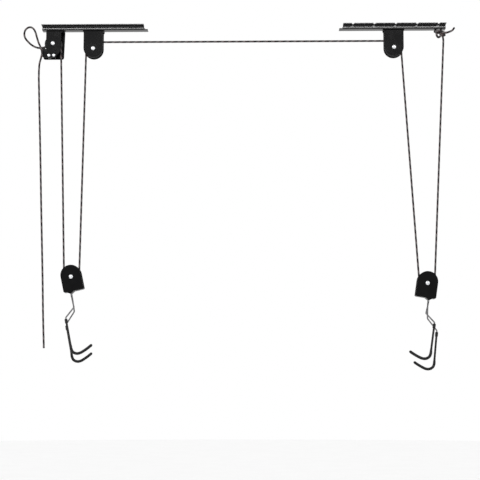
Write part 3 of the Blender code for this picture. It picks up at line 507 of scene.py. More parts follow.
class Finish(Protocol):
    """What every finish has: a name, and a method that makes its material."""

    @property
    def name(self) -> str:
        """The material's name."""

    def make(self) -> bpy.types.Material:
        """Builds the material."""


@dataclass
class Paintshop:
    """Keeps one material of each finish, made when first asked for."""

    made: dict[str, bpy.types.Material] = field(default_factory=dict)

    def material(self, finish: Finish) -> bpy.types.Material:
        """Gives the material of a finish."""
        return self.made.get(finish.name) or self.made.setdefault(finish.name, finish.make())

    def coat(self, obj: bpy.types.Object, finish: Finish) -> None:
        """Gives an object one slot with a finish."""
        obj.data.materials.clear()
        obj.data.materials.append(self.material(finish))

    def recoat(self, node: str, finish: Finish) -> None:
        """Gives a CAD node a finish on the slots that it has."""
        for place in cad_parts[node].material_slots:
            place.material = self.material(finish)


SHOP = Paintshop()


@dataclass(frozen=True)
class Tube:
    """A round section drawn along a line, with a UV map that holds its length in metres."""

    sides: int = 16

    def frames(self, line: Sequence[Vector]) -> list[tuple[Vector, Vector]]:
        """Carries a cross section along a line without letting it spin.

        Args:
            line: the points of the centre line.

        Returns:
            Two unit vectors across the line at each point.
        """
        ways = []
        for i, here in enumerate(line):
            before = line[max(i - 1, 0)]
            after = line[min(i + 1, len(line) - 1)]
            ways.append((after - before).normalized())
        side = ways[0].orthogonal().normalized()
        found = []
        for way in ways:
            side = (side - way * side.dot(way)).normalized()
            found.append((side, way.cross(side)))
        return found

    def draw(self, name: str, line: Sequence[Vector], radii: Sequence[float] | float,
             ripple: Callable[[float, float], float] | None = None) -> bpy.types.Object:
        """Makes the tube, closed with a rounded cap at each end.

        Args:
            name: the object's name.
            line: the points of the centre line.
            radii: one radius, or one for each point.
            ripple: adds to the radius for an angle in turns and a length in metres.

        Returns:
            The new object.
        """
        line = [Vector(p) for p in line]
        sizes = [radii] * len(line) if isinstance(radii, float) else list(radii)
        across = self.frames(line)
        work = bmesh.new()
        layer = work.loops.layers.uv.new("UVMap")
        run, lengths, rings = 0.0, [], []
        for i, here in enumerate(line):
            run += (here - line[i - 1]).length if i else 0.0
            lengths.append(run)
            ring = []
            for k in range(self.sides):
                turn = k / self.sides
                size = sizes[i] + (ripple(turn, run) if ripple else 0.0)
                a, b = across[i]
                angle = 2 * math.pi * turn
                ring.append(work.verts.new(here + (a * math.cos(angle) + b * math.sin(angle)) * size))
            rings.append(ring)
        for i in range(len(rings) - 1):
            for k in range(self.sides):
                n = (k + 1) % self.sides
                face = work.faces.new((rings[i][k], rings[i][n], rings[i + 1][n], rings[i + 1][k]))
                face.smooth = True
                spots = ((k, i), (k + 1, i), (k + 1, i + 1), (k, i + 1))
                for loop, (u, v) in zip(face.loops, spots):
                    loop[layer].uv = (u / self.sides, lengths[v])
        for ring, here, way, size, far in ((rings[0], line[0], line[0] - line[1], sizes[0], 0.0),
                                           (rings[-1], line[-1], line[-1] - line[-2], sizes[-1], run)):
            self.cap(work, layer, ring, here, way.normalized(), size, far, ring is rings[0])
        mesh = bpy.data.meshes.new(name)
        work.normal_update()
        work.to_mesh(mesh)
        work.free()
        return link(name, mesh)

    def cap(self, work: bmesh.types.BMesh, layer: bmesh.types.BMLayerItem, ring: Sequence[bmesh.types.BMVert],
            here: Vector, way: Vector, size: float, run: float, first: bool) -> None:
        """Closes one end with a chamfer and a slightly domed face.

        Args:
            work: the mesh that is being made.
            layer: its UV layer.
            ring: the last ring of points.
            here: the end of the centre line.
            way: the direction out of the end.
            size: the tube's radius there.
            run: the length at that end.
            first: True for the start of the tube.
        """
        inner = [work.verts.new(here + (v.co - here) * 0.86 + way * size * 0.06) for v in ring]
        tip = work.verts.new(here + way * size * 0.09)
        total = len(ring)
        for k in range(total):
            n = (k + 1) % total
            quad = (ring[n], ring[k], inner[k], inner[n]) if first else (ring[k], ring[n], inner[n], inner[k])
            fan = (inner[n], inner[k], tip) if first else (inner[k], inner[n], tip)
            for corners in (quad, fan):
                face = work.faces.new(corners)
                face.smooth = True
                for loop in face.loops:
                    loop[layer].uv = (k / total, run)


@dataclass(frozen=True)
class Lathe:
    """A closed outline turned about the Y axis."""

    steps: int = 64

    def turn(self, name: str, outline: Sequence[tuple[float, float]], centre: Vector,
             hollow: bool) -> bpy.types.Object:
        """Turns the outline.

        Args:
            name: the object's name.
            outline: points of radius and height; a hollow one is a closed ring, a solid one starts and
                ends on the axis.
            centre: where the turned piece sits.
            hollow: True when the outline doesn't touch the axis.

        Returns:
            The new object.
        """
        work = bmesh.new()
        columns = []
        for k in range(self.steps):
            angle = 2 * math.pi * k / self.steps
            columns.append([work.verts.new((r * math.cos(angle), h, r * math.sin(angle)))
                            for r, h in (outline if hollow else outline[1:-1])])
        ends = [] if hollow else [work.verts.new((0.0, outline[i][1], 0.0)) for i in (0, -1)]
        count = len(columns[0])
        for k in range(self.steps):
            here, beside = columns[k], columns[(k + 1) % self.steps]
            for i in range(count if hollow else count - 1):
                j = (i + 1) % count
                work.faces.new((here[i], here[j], beside[j], beside[i])).smooth = True
            if ends:
                work.faces.new((ends[0], here[0], beside[0])).smooth = True
                work.faces.new((here[-1], ends[1], beside[-1])).smooth = True
        bmesh.ops.recalc_face_normals(work, faces=work.faces)
        mesh = bpy.data.meshes.new(name)
        work.to_mesh(mesh)
        work.free()
        mesh.transform(Matrix.Translation(centre))
        return link(name, mesh)


def link(name: str, mesh: bpy.types.Mesh) -> bpy.types.Object:
    """Puts a mesh in the scene with soft shading up to its sharp corners.

    Args:
        name: the object's name.
        mesh: its mesh.

    Returns:
        The object.
    """
    obj = bpy.data.objects.new(name, mesh)
    bpy.context.scene.collection.objects.link(obj)
    mesh.set_sharp_from_angle(angle=math.radians(SHARP))
    return obj


def rounded(outline: Sequence[tuple[float, float]], radius: float,
            steps: int = 4) -> list[tuple[float, float]]:
    """Rounds each corner of a closed outline.

    Args:
        outline: the corners in order.
        radius: the largest radius; a short side gets a smaller one.
        steps: how many points a corner gets, less one.

    Returns:
        The rounded outline.
    """
    out = []
    total = len(outline)
    for i in range(total):
        here, before, after = Vector(outline[i]), Vector(outline[i - 1]), Vector(outline[(i + 1) % total])
        a, b = before - here, after - here
        reach = min(radius, a.length * 0.45, b.length * 0.45)
        start, end = here + a.normalized() * reach, here + b.normalized() * reach
        for k in range(steps + 1):
            t = k / steps
            out.append(tuple(start * (1 - t) ** 2 + here * 2 * t * (1 - t) + end * t ** 2))
    return out


def dressed(obj: bpy.types.Object, node: str, finish: Finish, body: str) -> bpy.types.Object:
    """Finishes a piece that stands for a CAD node.

    Args:
        obj: the new piece.
        node: the CAD node.
        finish: one of the finish classes.
        body: the body that carries it.

    Returns:
        The same piece.
    """
    SHOP.coat(obj, finish)
    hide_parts(node)
    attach(obj, body)
    LOG.info("made %s for %s on %s", obj.name, node, body)
    return obj


def middle(node: str) -> Vector:
    """Gives the centre of a CAD node's box."""
    low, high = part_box(node)
    return (Vector(low) + Vector(high)) / 2


def centre_line(node: str, axis: int) -> tuple[Vector, Vector]:
    """Finds the ends of a straight rope's centre line from the first and last ring of its CAD mesh.

    Args:
        node: the CAD node.
        axis: the axis along which the rope runs, 0 for X and 2 for Z.

    Returns:
        The end with the lower coordinate on that axis, and the other one.
    """
    spots = [v.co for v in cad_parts[node].data.vertices]
    half = (min(p[axis] for p in spots) + max(p[axis] for p in spots)) / 2
    ends = []
    for group in ([p for p in spots if p[axis] < half], [p for p in spots if p[axis] >= half]):
        ends.append(Vector([(min(p[i] for p in group) + max(p[i] for p in group)) / 2 for i in range(3)]))
    return ends[0], ends[1]


def evenly(route: Sequence[Sequence[float]], count: int) -> tuple[list[Vector], float]:
    """Reads evenly spaced points from a smooth curve through a route.

    Args:
        route: the points that the curve passes.
        count: how many points to read.

    Returns:
        The points, and the curve's length in metres.
    """
    pts = [Vector(p) for p in route]
    pts = [2 * pts[0] - pts[1]] + pts + [2 * pts[-1] - pts[-2]]
    dense = []
    for i in range(1, len(pts) - 2):
        p0, p1, p2, p3 = pts[i - 1:i + 3]
        t01, t12, t23 = ((b - a).length ** 0.5 for a, b in ((p0, p1), (p1, p2), (p2, p3)))
        m1 = p2 - p1 + t12 * ((p1 - p0) / t01 - (p2 - p0) / (t01 + t12))
        m2 = p2 - p1 + t12 * ((p3 - p2) / t23 - (p3 - p1) / (t12 + t23))
        for k in range(24):
            s = k / 24
            dense.append((2 * s ** 3 - 3 * s ** 2 + 1) * p1 + (s ** 3 - 2 * s ** 2 + s) * m1
                         + (-2 * s ** 3 + 3 * s ** 2) * p2 + (s ** 3 - s ** 2) * m2)
    dense.append(pts[-2].copy())
    run = [0.0]
    for a, b in zip(dense, dense[1:]):
        run.append(run[-1] + (b - a).length)
    out, j = [], 0
    for i in range(count):
        want = run[-1] * i / (count - 1)
        while j < len(run) - 2 and run[j + 1] < want:
            j += 1
        span = run[j + 1] - run[j]
        out.append(dense[j].lerp(dense[j + 1], (want - run[j]) / span if span else 0.0))
    return out, run[-1]


def eased(low: float, high: float, share: float) -> float:
    """Goes smoothly from one value to another as a share goes from 0 to 1."""
    t = min(1.0, max(0.0, share))
    return low + (high - low) * t * t * (3 - 2 * t)


def braid(turn: float, run: float) -> float:
    """Gives the small swell of the braid's crossings, for an angle in turns and a length in metres."""
    one, other = (math.cos(2 * math.pi * CARRIERS * (turn + way * run / LAY)) for way in (1, -1))
    return 0.00007 * one * other - 0.00004


@dataclass(frozen=True)
class SoftBox:
    """A rectangular lamp."""

    name: str
    place: tuple[float, float, float]
    aim: tuple[float, float, float]
    size: tuple[float, float]
    watts: float

    def hang(self) -> None:
        """Hangs the lamp."""
        data = bpy.data.lights.new(self.name, "AREA")
        data.shape = "RECTANGLE"
        data.size, data.size_y, data.energy = *self.size, self.watts
        lamp = bpy.data.objects.new(self.name, data)
        bpy.context.scene.collection.objects.link(lamp)
        lamp.location = self.place
        lamp.rotation_euler = (Vector(self.aim) - Vector(self.place)).to_track_quat("-Z", "Y").to_euler()


@dataclass(frozen=True)
class Studio:
    """Plain pale floor in a white surround, soft light, and the camera at the photo's viewing angle."""

    eye: tuple[float, float, float] = (0.4014, -2.6000, -0.9003)
    pitch: float = 5.357            # degrees that the camera looks up
    turn: float = 0.795             # degrees that it looks to the left
    lens: float = 80.951            # focal length in millimetres
    rise: float = 0.10              # upward shift of the lens, in widths of the picture
    floor: float = -2.40            # height of the floor
    spread: float = 30.0            # its radius
    lamps: tuple[SoftBox, ...] = (
        SoftBox("key", (-1.7, -1.9, 1.1), (0.3, 0.0, -0.3), (1.1, 1.1), 20),
        SoftBox("fill", (2.5, -1.9, 0.7), (0.4, 0.0, -0.4), (1.1, 1.1), 9),
        SoftBox("strip", (0.4, -3.0, 1.035), (0.4, 0.0, 0.0), (5.0, 0.07), 26))

    def camera(self) -> bpy.types.Object:
        """Sets up the camera below the rails, looking a little up.

        Returns:
            The camera object.
        """
        data = bpy.data.cameras.new("camera")
        data.lens = self.lens
        data.sensor_width = 36.0
        data.sensor_fit = "HORIZONTAL"
        data.shift_y = self.rise
        data.dof.use_dof = False
        data.clip_start, data.clip_end = 0.05, 60.0
        eye = bpy.data.objects.new("camera", data)
        bpy.context.scene.collection.objects.link(eye)
        eye.location = self.eye
        eye.rotation_euler = (math.radians(90 + self.pitch), 0.0, math.radians(self.turn))
        bpy.context.scene.camera = eye
        LOG.info("camera at %s with a %.1f mm lens", self.eye, self.lens)
        return eye

    def ground(self) -> bpy.types.Object:
        """Lays the plain floor far below the hoist.

        Returns:
            The floor.
        """
        work = bmesh.new()
        bmesh.ops.create_circle(work, cap_ends=True, segments=96, radius=self.spread)
        mesh = bpy.data.meshes.new("studio_floor")
        work.to_mesh(mesh)
        work.free()
        mesh.transform(Matrix.Translation((self.eye[0], 0.0, self.floor)))
        sheet = link("studio_floor", mesh)
        SHOP.coat(sheet, StudioPaper())
        return sheet

    def light(self) -> None:
        """Sets the pale surround and the soft boxes."""
        world = bpy.data.worlds.new("studio")
        world.use_nodes = True
        back = world.node_tree.nodes["Background"]
        back.inputs["Color"].default_value = (1.0, 1.0, 1.0, 1.0)
        back.inputs["Strength"].default_value = 1.0
        bpy.context.scene.world = world
        bpy.context.scene.view_settings.view_transform = "Standard"
        for lamp in self.lamps:
            lamp.hang()
        LOG.info("studio lit by %d lamps", len(self.lamps))

    def build(self) -> None:
        """Builds the studio."""
        self.ground()
        self.light()


@dataclass(frozen=True)
class PullRope:
    """The free rope: out of the brake, once round in a loop and down to a cut end."""

    radius: float = BRAID_RADIUS
    points: int = 72
    length: float = 0.8925
    route: tuple[tuple[float, float, float], ...] = (
        (-0.0262, 0.0000, -0.0080), (-0.0286, 0.0000, -0.0080), (-0.0366, -0.0012, -0.0092),
        (-0.0492, -0.0050, -0.0058), (-0.0600, -0.0095, 0.0022), (-0.0680, -0.0130, 0.0118),
        (-0.0703, -0.0155, 0.0212), (-0.0676, -0.0175, 0.0305), (-0.0611, -0.0185, 0.0367),
        (-0.0536, -0.0188, 0.0378), (-0.0470, -0.0185, 0.0340), (-0.0421, -0.0180, 0.0252),
        (-0.0385, -0.0165, 0.0128), (-0.0348, -0.0150, 0.0005), (-0.0298, -0.0140, -0.0108),
        (-0.0262, -0.0132, -0.0232), (-0.0274, -0.0130, -0.0352), (-0.0318, -0.0120, -0.0520),
        (-0.0334, -0.0105, -0.0803), (-0.0327, -0.0090, -0.1150), (-0.0296, -0.0070, -0.2055),
        (-0.0264, -0.0050, -0.3054), (-0.0234, -0.0035, -0.4048), (-0.0200, -0.0025, -0.5038),
        (-0.0170, -0.0020, -0.5900), (-0.0145, -0.0015, -0.6758), (-0.0114, -0.0010, -0.7562))

    def build(self) -> bpy.types.Object:
        """Returns:
            The rope.
        """
        wheel = middle("brake_wheel")
        route = [(wheel.x + x, ROPE_PLANE + y, wheel.z + z) for x, y, z in self.route]
        line, length = evenly(route, self.points * 4 + 1)
        LOG.info("pull rope is %.4f m long", length)
        rope = Tube(16).draw("pull_rope_braid", line, self.radius, braid)
        dressed(rope, "pull_rope", BraidedCord(), "ceiling_frame")
        end = self.melt(line)
        return rope

    def melt(self, line: Sequence[Vector]) -> bpy.types.Object:
        """Makes the melted bead on the cut end.

        Args:
            line: the rope's centre line.

        Returns:
            The bead.
        """
        way = (line[-1] - line[-3]).normalized()
        start = line[-1] - way * 0.0030
        shape = ((0.0, 1.02), (0.0012, 1.05), (0.0022, 1.06), (0.0029, 0.98), (0.0033, 0.72))
        bead = Tube(20).draw("pull_rope_melted_end", [start + way * t for t, _ in shape],
                             [self.radius * r for _, r in shape])
        SHOP.coat(bead, MeltedEnd())
        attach(bead, "ceiling_frame")
        return bead


@dataclass(frozen=True)
class RopeFall:
    """One straight fall of rope, drawn between the ends of its CAD node; the real fall shortens as its block
    rises.
    """

    fall: Rope
    lift: float = 0.45              # how far the block rises
    step: float = 0.004             # length between two rings of the braid
    radius: float = BRAID_RADIUS

    def build(self) -> bpy.types.Object:
        """Draws the fall between the ends of its CAD node.

        Returns:
            The rope.
        """
        node, joint = self.fall.value
        ends = centre_line(node, 2)
        count = max(2, int((ends[1] - ends[0]).length / self.step))
        line = [ends[0].lerp(ends[1], i / count) for i in range(count + 1)]
        rope = Tube(16).draw(node + "_braid", line, self.radius, braid)
        dressed(rope, node, BraidedCord(), "ceiling_frame")
        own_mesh(rope)
        return rope


@dataclass(frozen=True)
class LevelRun:
    """The level rope between the two fixed pulleys."""

    node: str = "rope_run_level"
    steps: int = 180
    radius: float = BRAID_RADIUS

    def build(self) -> bpy.types.Object:
        """Draws the run between the ends of its CAD node.

        Returns:
            The rope.
        """
        left, right = centre_line(self.node, 0)
        line = [left.lerp(right, i / self.steps) for i in range(self.steps + 1)]
        rope = Tube(16).draw(self.node + "_braid", line, self.radius, braid)
        return dressed(rope, self.node, BraidedCord(), "ceiling_frame")


@dataclass(frozen=True)
class RopeTurn:
    """Rope round a pulley, from one angle to another, with an optional tail."""

    node: str
    wheel: str
    start: float                    # degrees round the wheel, from +X toward +Z
    end: float
    body: str
    tail: tuple[tuple[float, float], ...] = ()      # X and Z from the wheel's centre
    radius: float = BRAID_RADIUS
    turn: float = ROPE_TURN

    def build(self) -> bpy.types.Object:
        """Draws the rope in the groove.

        Returns:
            The rope.
        """
        hub = middle(self.wheel)
        count = max(8, int(abs(self.end - self.start) / 4))
        line = []
        for i in range(count + 1):
            angle = math.radians(self.start + (self.end - self.start) * i / count)
            out, up = self.turn * math.cos(angle), self.turn * math.sin(angle)
            line.append(Vector((hub.x + out, ROPE_PLANE, hub.z + up)))
        line += [Vector((hub.x + x, ROPE_PLANE, hub.z + z)) for x, z in self.tail]
        rope = Tube(16).draw(self.node + "_braid", line, self.radius, braid)
        return dressed(rope, self.node, BraidedCord(), self.body)


@dataclass(frozen=True)
class AnchorHitch:
    """The tied end of the rope: up through one hole of the channel, down the other and round the fall."""

    fall_x: float                   # X of the fall that hangs from the knot
    rail_end: float                 # X of the rail's end
    near_hole: float = 0.0105       # distance of the two rope holes from the rail's end
    far_hole: float = 0.0240
    top: float = -0.0400            # height at which the fall begins
    radius: float = BRAID_RADIUS
    swell: float = 0.00030          # added to the radius in the knot
    points: int = 300
    slim_start: int = 20            # points in which the swell comes up from the fall
    slim_end: int = 40              # and goes down toward the cut end

    def build(self) -> bpy.types.Object:
        """Draws the knot.

        Returns:
            The rope.
        """
        x, y = self.fall_x, ROPE_PLANE
        a, b = self.rail_end - self.near_hole, self.rail_end - self.far_hole
        route = [(x, y, self.top + AIR / 3), (x - 0.0004, y, -0.0350), (x - 0.0012, y, -0.0290),
                 (x - 0.0026, y, -0.0200), (a, y, -0.0120), (a - 0.0016, y, -0.0062),
                 (a - 0.0067, y, -0.0038), (b + 0.0016, y, -0.0062), (b, y, -0.0115),
                 (x - 0.0170, y - 0.0002, -0.0170), (x - 0.0166, y - 0.0006, -0.0225),
                 (x - 0.0160, y - 0.0014, -0.0275), (x - 0.0122, y - 0.0026, -0.0316),
                 (x - 0.0078, y - 0.0040, -0.0292), (x - 0.0040, y - 0.0052, -0.0264),
                 (x + 0.0018, y - 0.0040, -0.0257), (x + 0.0032, y, -0.0254),
                 (x + 0.0010, y + 0.0046, -0.0250), (x - 0.0046, y + 0.0044, -0.0240),
                 (x - 0.0072, y, -0.0230), (x - 0.0040, y - 0.0052, -0.0221),
                 (x + 0.0016, y - 0.0044, -0.0212), (x + 0.0032, y, -0.0207),
                 (x + 0.0008, y + 0.0048, -0.0202), (x - 0.0090, y + 0.0052, -0.0184),
                 (x - 0.0166, y + 0.0046, -0.0170), (x - 0.0212, y, -0.0160),
                 (x - 0.0168, y - 0.0050, -0.0162), (x - 0.0100, y - 0.0062, -0.0176),
                 (x - 0.0030, y - 0.0088, -0.0200), (x + 0.0045, y - 0.0074, -0.0215),
                 (x + 0.0135, y - 0.0045, -0.0186), (x + 0.0215, y - 0.0035, -0.0146),
                 (x + 0.0272, y - 0.0030, -0.0075)]
        line, length = evenly(route, self.points)
        LOG.info("the knot takes %.3f m of rope", length)
        last = self.points - 1
        sizes = [self.radius + self.swell * min(1.0, i / self.slim_start, (last - i) / self.slim_end)
                 for i in range(self.points)]
        rope = Tube(16).draw("rope_anchor_hitch_braid", line, sizes, braid)
        return dressed(rope, "rope_anchor_hitch", BraidedCord(), "ceiling_frame")


@dataclass(frozen=True)
class PulleyWheel:
    """A moulded nylon wheel with a rope groove, a web with ribs and a raised hub."""

    node: str
    body: str
    bore: float = 0.0033            # radius of the axle hole
    hub: float = 0.0068             # radius of the raised hub
    rim: float = 0.0215             # outer radius
    half: float = 0.0058            # half width at the rim
    groove: float = 0.0159          # radius at the bottom of the groove
    groove_half: float = 0.0026     # half width of the groove's lower part
    web: float = 0.0034             # half thickness of the web
    ribs: int = 5                   # on each face
    rib: float = 0.0014             # thickness of a rib

    def build(self) -> bpy.types.Object:
        """Turns the wheel and adds its ribs.

        Returns:
            The wheel.
        """
        side = CHEEK_GAP / 2 - AIR
        half = [(self.bore, side - 0.0002), (self.bore + 0.0002, side), (self.hub - 0.0003, side),
                (self.hub, side - 0.0003), (self.hub + 0.0006, self.web), (self.rim - 0.0050, self.web),
                (self.rim - 0.0038, self.half), (self.rim - 0.0005, self.half),
                (self.rim, self.half - 0.0008), (self.groove + 0.0022, self.groove_half + 0.0006),
                (self.groove + 0.0004, self.groove_half - 0.0008), (self.groove, 0.0008)]
        ring = rounded(half + [(r, -h) for r, h in reversed(half)], 0.0004, 3)
        centre = middle(self.node)
        wheel = Lathe(72).turn(self.node + "_moulding", ring, centre, True)
        self.add_ribs(wheel, centre)
        return dressed(wheel, self.node, SatinNylon(), self.body)

    def add_ribs(self, wheel: bpy.types.Object, centre: Vector) -> None:
        """Joins thin spokes to both faces of the web.

        Args:
            wheel: the wheel.
            centre: its centre.
        """
        work = bmesh.new()
        work.from_mesh(wheel.data)
        inner, outer, tall = self.hub - 0.0004, self.rim - 0.0040, self.half - 0.0012
        for k in range(self.ribs):
            for face in (1, -1):
                made = bmesh.ops.create_cube(work, size=1.0)["verts"]
                low, high = self.web - 0.0006, tall
                size = Matrix.Diagonal((outer - inner, high - low, self.rib, 1.0))
                shift = Matrix.Translation(((inner + outer) / 2, face * (low + high) / 2, 0.0))
                turn = Matrix.Rotation(2 * math.pi * k / self.ribs, 4, "Y")
                bmesh.ops.transform(work, matrix=Matrix.Translation(centre) @ turn @ shift @ size, verts=made)
        work.to_mesh(wheel.data)
        work.free()
        wheel.data.set_sharp_from_angle(angle=math.radians(SHARP))


@dataclass(frozen=True)
class Rivet:
    """A zinc plated rivet or axle with a domed head at each end."""

    node: str
    body: str
    radius: float                   # of the shank
    head: float                     # radius of a head
    height: float                   # of a head
    reach: float                    # from the middle to the underside of a head
    upright: bool = False           # True when it stands along Z

    def build(self) -> bpy.types.Object:
        """Turns the rivet with a small dimple in each head.

        Returns:
            The rivet.
        """
        dome = [(0.0, self.reach + self.height * 0.86), (self.head * 0.16, self.reach + self.height * 0.90)]
        for angle in (20, 35, 50, 65, 80):
            turn = math.radians(angle)
            rise = self.height * (0.25 + 0.75 * math.cos(turn))
            dome.append((self.head * math.sin(turn), self.reach + rise))
        dome += [(self.head, self.reach + self.height * 0.12), (self.head - 0.0002, self.reach),
                 (self.radius, self.reach)]
        outline = dome + [(r, -h) for r, h in reversed(dome)]
        centre = middle(self.node)
        rivet = Lathe(40).turn(self.node + "_turning", outline, Vector((0, 0, 0)), False)
        if self.upright:
            rivet.data.transform(Matrix.Rotation(math.radians(90), 4, "X"))
        rivet.data.transform(Matrix.Translation(centre))
        return dressed(rivet, self.node, BrightZinc(), self.body)


@dataclass(frozen=True)
class WireHook:
    """A hook bent from one wire: doubled over the saddle, stepped aside and ending in two padded bows."""

    side: Side
    tilt: float                     # degrees that the block leans
    roll: float                     # degrees that lift the front bow
    twist: float                    # degrees that turn the bows about the upright line
    wire: float = 0.0018            # radius of the bare wire
    half: float = 0.0042            # half distance of the legs where they leave the saddle
    neck: float = 0.0420            # from the saddle down to the first bend
    step_out: float = 0.0240        # sideways step between the two bends
    step_down: float = 0.0250       # and how far down the wire goes in it
    leg: float = 0.0800             # from the second bend down to the heel
    spread_neck: float = 0.0240     # half distance of the legs at the first bend
    spread_knee: float = 0.0360     # at the second bend
    spread: float = 0.0520          # and at the bottom
    reach: float = 0.0480           # from the leg to the tip of the bow
    bottom: float = 0.0135          # depth of the bow under the heel
    collar: float = 0.0036          # radius of the sleeve at its collar
    sleeve: float = 0.0025          # along the leg
    bow: float = 0.0034             # and round the bow
    foot: float = 0.0350            # axle to the underside of the block's crown
    drop: float = 0.0045            # depth of the saddle pressed in the crown
    shift: float = 0.0085           # the saddle's distance from the block's middle
    lip: float = 0.0012             # length of the collar's rounded edge
    taper: float = 0.0020           # length in which the collar thins to the leg's sleeve
    bow_run: float = 0.0660         # length of the bow, up to its tip
    swell_run: float = 0.0180       # length in which the sleeve swells to the bow,
    swell_lead: float = 0.0120      # of which this much lies before the bow
    tip_run: float = 0.0034         # length of the rounded tip

    @property
    def label(self) -> str:
        """The side's name as the CAD nodes spell it."""
        return self.side.name.lower()

    @property
    def top(self) -> float:
        """Height of the saddle's upper face, from the axle."""
        return -self.foot - self.drop + SHEET

    @property
    def seat(self) -> float:
        """Height at which the wire's centre line starts down through the saddle."""
        return self.top - 0.0002

    def fillet(self, points: Sequence[Vector], radii: Sequence[float], count: int = 8) -> list[Vector]:
        """Rounds the inner corners of an open line.

        Args:
            points: the corners.
            radii: a radius for each inner corner.
            count: how many steps an arc gets.

        Returns:
            The rounded line.
        """
        out = [Vector(points[0])]
        for i in range(1, len(points) - 1):
            here = Vector(points[i])
            before = (Vector(points[i - 1]) - here).normalized()
            after = (Vector(points[i + 1]) - here).normalized()
            angle, size = before.angle(after), radii[i - 1]
            reach = size / math.tan(angle / 2)
            centre = here + (before + after).normalized() * (size / math.sin(angle / 2))
            a, b = here + before * reach - centre, here + after * reach - centre
            swing = a.angle(b)
            for k in range(count + 1):
                t = k / count
                spoke = a * math.sin((1 - t) * swing) + b * math.sin(t * swing)
                out.append(centre + spoke / math.sin(swing))
        out.append(Vector(points[-1]))
        return out

    def twisted(self, point: Vector) -> Vector:
        """Turns a point about the upright line through the saddle, more and more down to the first bend."""
        share = min(1.0, max(0.0, (self.seat - 0.006 - point.z) / (self.neck - 0.006)))
        return Matrix.Rotation(math.radians(self.twist * share), 4, "Z") @ point

    def prong(self, end: int) -> tuple[list[Vector], list[Vector]]:
        """Draws one leg and its bow.

        Args:
            end: -1 for the front leg and 1 for the rear one.

        Returns:
            The centre line from the saddle down to the heel, and that of the bow.
        """
        top, way = self.seat, self.side.value
        knee = self.neck + self.step_down
        heel, out = knee + self.leg, -way * self.step_out
        corners = [(0, end * self.half, top), (0, end * self.half, top - 0.008),
                   (0, end * self.spread_neck, top - self.neck), (out, end * self.spread_knee, top - knee),
                   (out, end * self.spread, top - heel)]
        upper = self.fillet([Vector(c) for c in corners], [0.006, 0.005, 0.005])
        bend, foot = upper[-2:]
        upper[-1:] = [bend.lerp(foot, t / LEG_STEPS) for t in range(1, LEG_STEPS + 1)]
        bow = [Vector((out + way * u, end * (self.spread + 0.0012 * min(1.0, u / 0.02)), top - heel - w))
               for u, w in ((0.0020, 0.0070), (0.0062, 0.0112), (0.0120, self.bottom), (0.0190, 0.0132),
                            (0.0270, 0.0104), (0.0360, 0.0062), (0.0430, 0.0024), (self.reach, -0.0006))]
        return [self.twisted(p) for p in upper], [self.twisted(p) for p in bow]

    def matrix(self) -> Matrix:
        """Gives the place in the frame of the hook, which is drawn from its block's axle.

        Returns:
            The matrix that carries the hook there.
        """
        hub = middle(self.label + "_block_wheel")
        pivot = Matrix.Translation((0, 0, self.top - SHEET / 2))
        leaned = pivot @ Matrix.Rotation(math.radians(-self.roll), 4, "X") @ pivot.inverted()
        centre = Vector((hub.x, ROPE_PLANE, hub.z))
        turned = Matrix.Translation(centre) @ Matrix.Rotation(math.radians(-self.tilt), 4, "Y")
        return turned @ Matrix.Translation((-self.side.value * self.shift, 0, 0)) @ leaned

    def build(self) -> None:
        """Bends the wire and dips its two ends."""
        place = self.matrix()
        legs = {end: self.prong(end) for end in (-1, 1)}
        arc = [math.radians(a) for a in range(15, 180, 15)]
        bight = [Vector((0, -self.half * math.cos(a), self.seat + self.half * math.sin(a))) for a in arc]
        route = list(reversed(legs[-1][1])) + list(reversed(legs[-1][0])) + bight + legs[1][0] + legs[1][1]
        route = [place @ p for p in route]
        line, length = evenly(self.thinned(route), 520)
        LOG.info("%s hook takes %.3f m of wire", self.label, length)
        wire = Tube(18).draw(self.label + "_hook_wire_bend", line, self.wire)
        dressed(wire, self.label + "_hook_wire", DrawnWire(), self.label + "_hook")
        for end, word in ((-1, "front"), (1, "rear")):
            self.dip(place, legs[end], word)

    def thinned(self, route: Sequence[Vector]) -> list[Vector]:
        """Leaves out points that lie closer than half a millimetre to the one before.

        Args:
            route: the points of the wire.

        Returns:
            The points that are left.
        """
        out = [route[0]]
        for point in route[1:]:
            if (point - out[-1]).length > 0.0005:
                out.append(point)
        return out

    def dip(self, place: Matrix, leg: tuple[list[Vector], list[Vector]], word: str) -> None:
        """Makes one vinyl sleeve: a collar, a thin leg and a thick bow with a rounded tip.

        Args:
            place: the hook's place in the frame.
            leg: the leg's centre line and the bow's.
            word: front or rear.
        """
        upper, bow = leg
        heel, knee = upper[-1], upper[-1 - LEG_STEPS]
        tip = (bow[-1] - bow[-2]).normalized()
        route = [knee.lerp(heel, 0.02)] + list(upper[-LEG_STEPS:]) + list(bow)
        route.append(bow[-1] + tip * 0.0020)
        count = 300
        line, length = evenly([place @ p for p in route], count)
        collar_end = (knee - heel).length * 0.125
        sizes = [self.girth(length * i / (count - 1), length, collar_end) for i in range(count)]
        obj = Tube(24).draw(f"{self.label}_hook_sleeve_{word}_dip", line, sizes)
        dressed(obj, f"{self.label}_hook_sleeve_{word}", DippedVinyl(), self.label + "_hook")

    def girth(self, run: float, length: float, collar_end: float) -> float:
        """Gives the sleeve's radius at a length from its collar.

        Args:
            run: the length from the collar's edge.
            length: the sleeve's whole length.
            collar_end: how long the collar is.

        Returns:
            The radius.
        """
        if run < self.lip:
            return self.collar - 0.0006 * (1 - run / self.lip) ** 2
        if run < collar_end + self.taper:
            return eased(self.collar, self.sleeve, (run - collar_end) / self.taper)
        left = length - run
        size = eased(self.sleeve, self.bow, (self.bow_run + self.swell_lead - left) / self.swell_run)
        if left < self.tip_run:
            size *= math.sqrt(max(0.06, 1 - ((self.tip_run - left) / self.tip_run) ** 2))
        return size + 0.00005 * math.sin(run * 900)


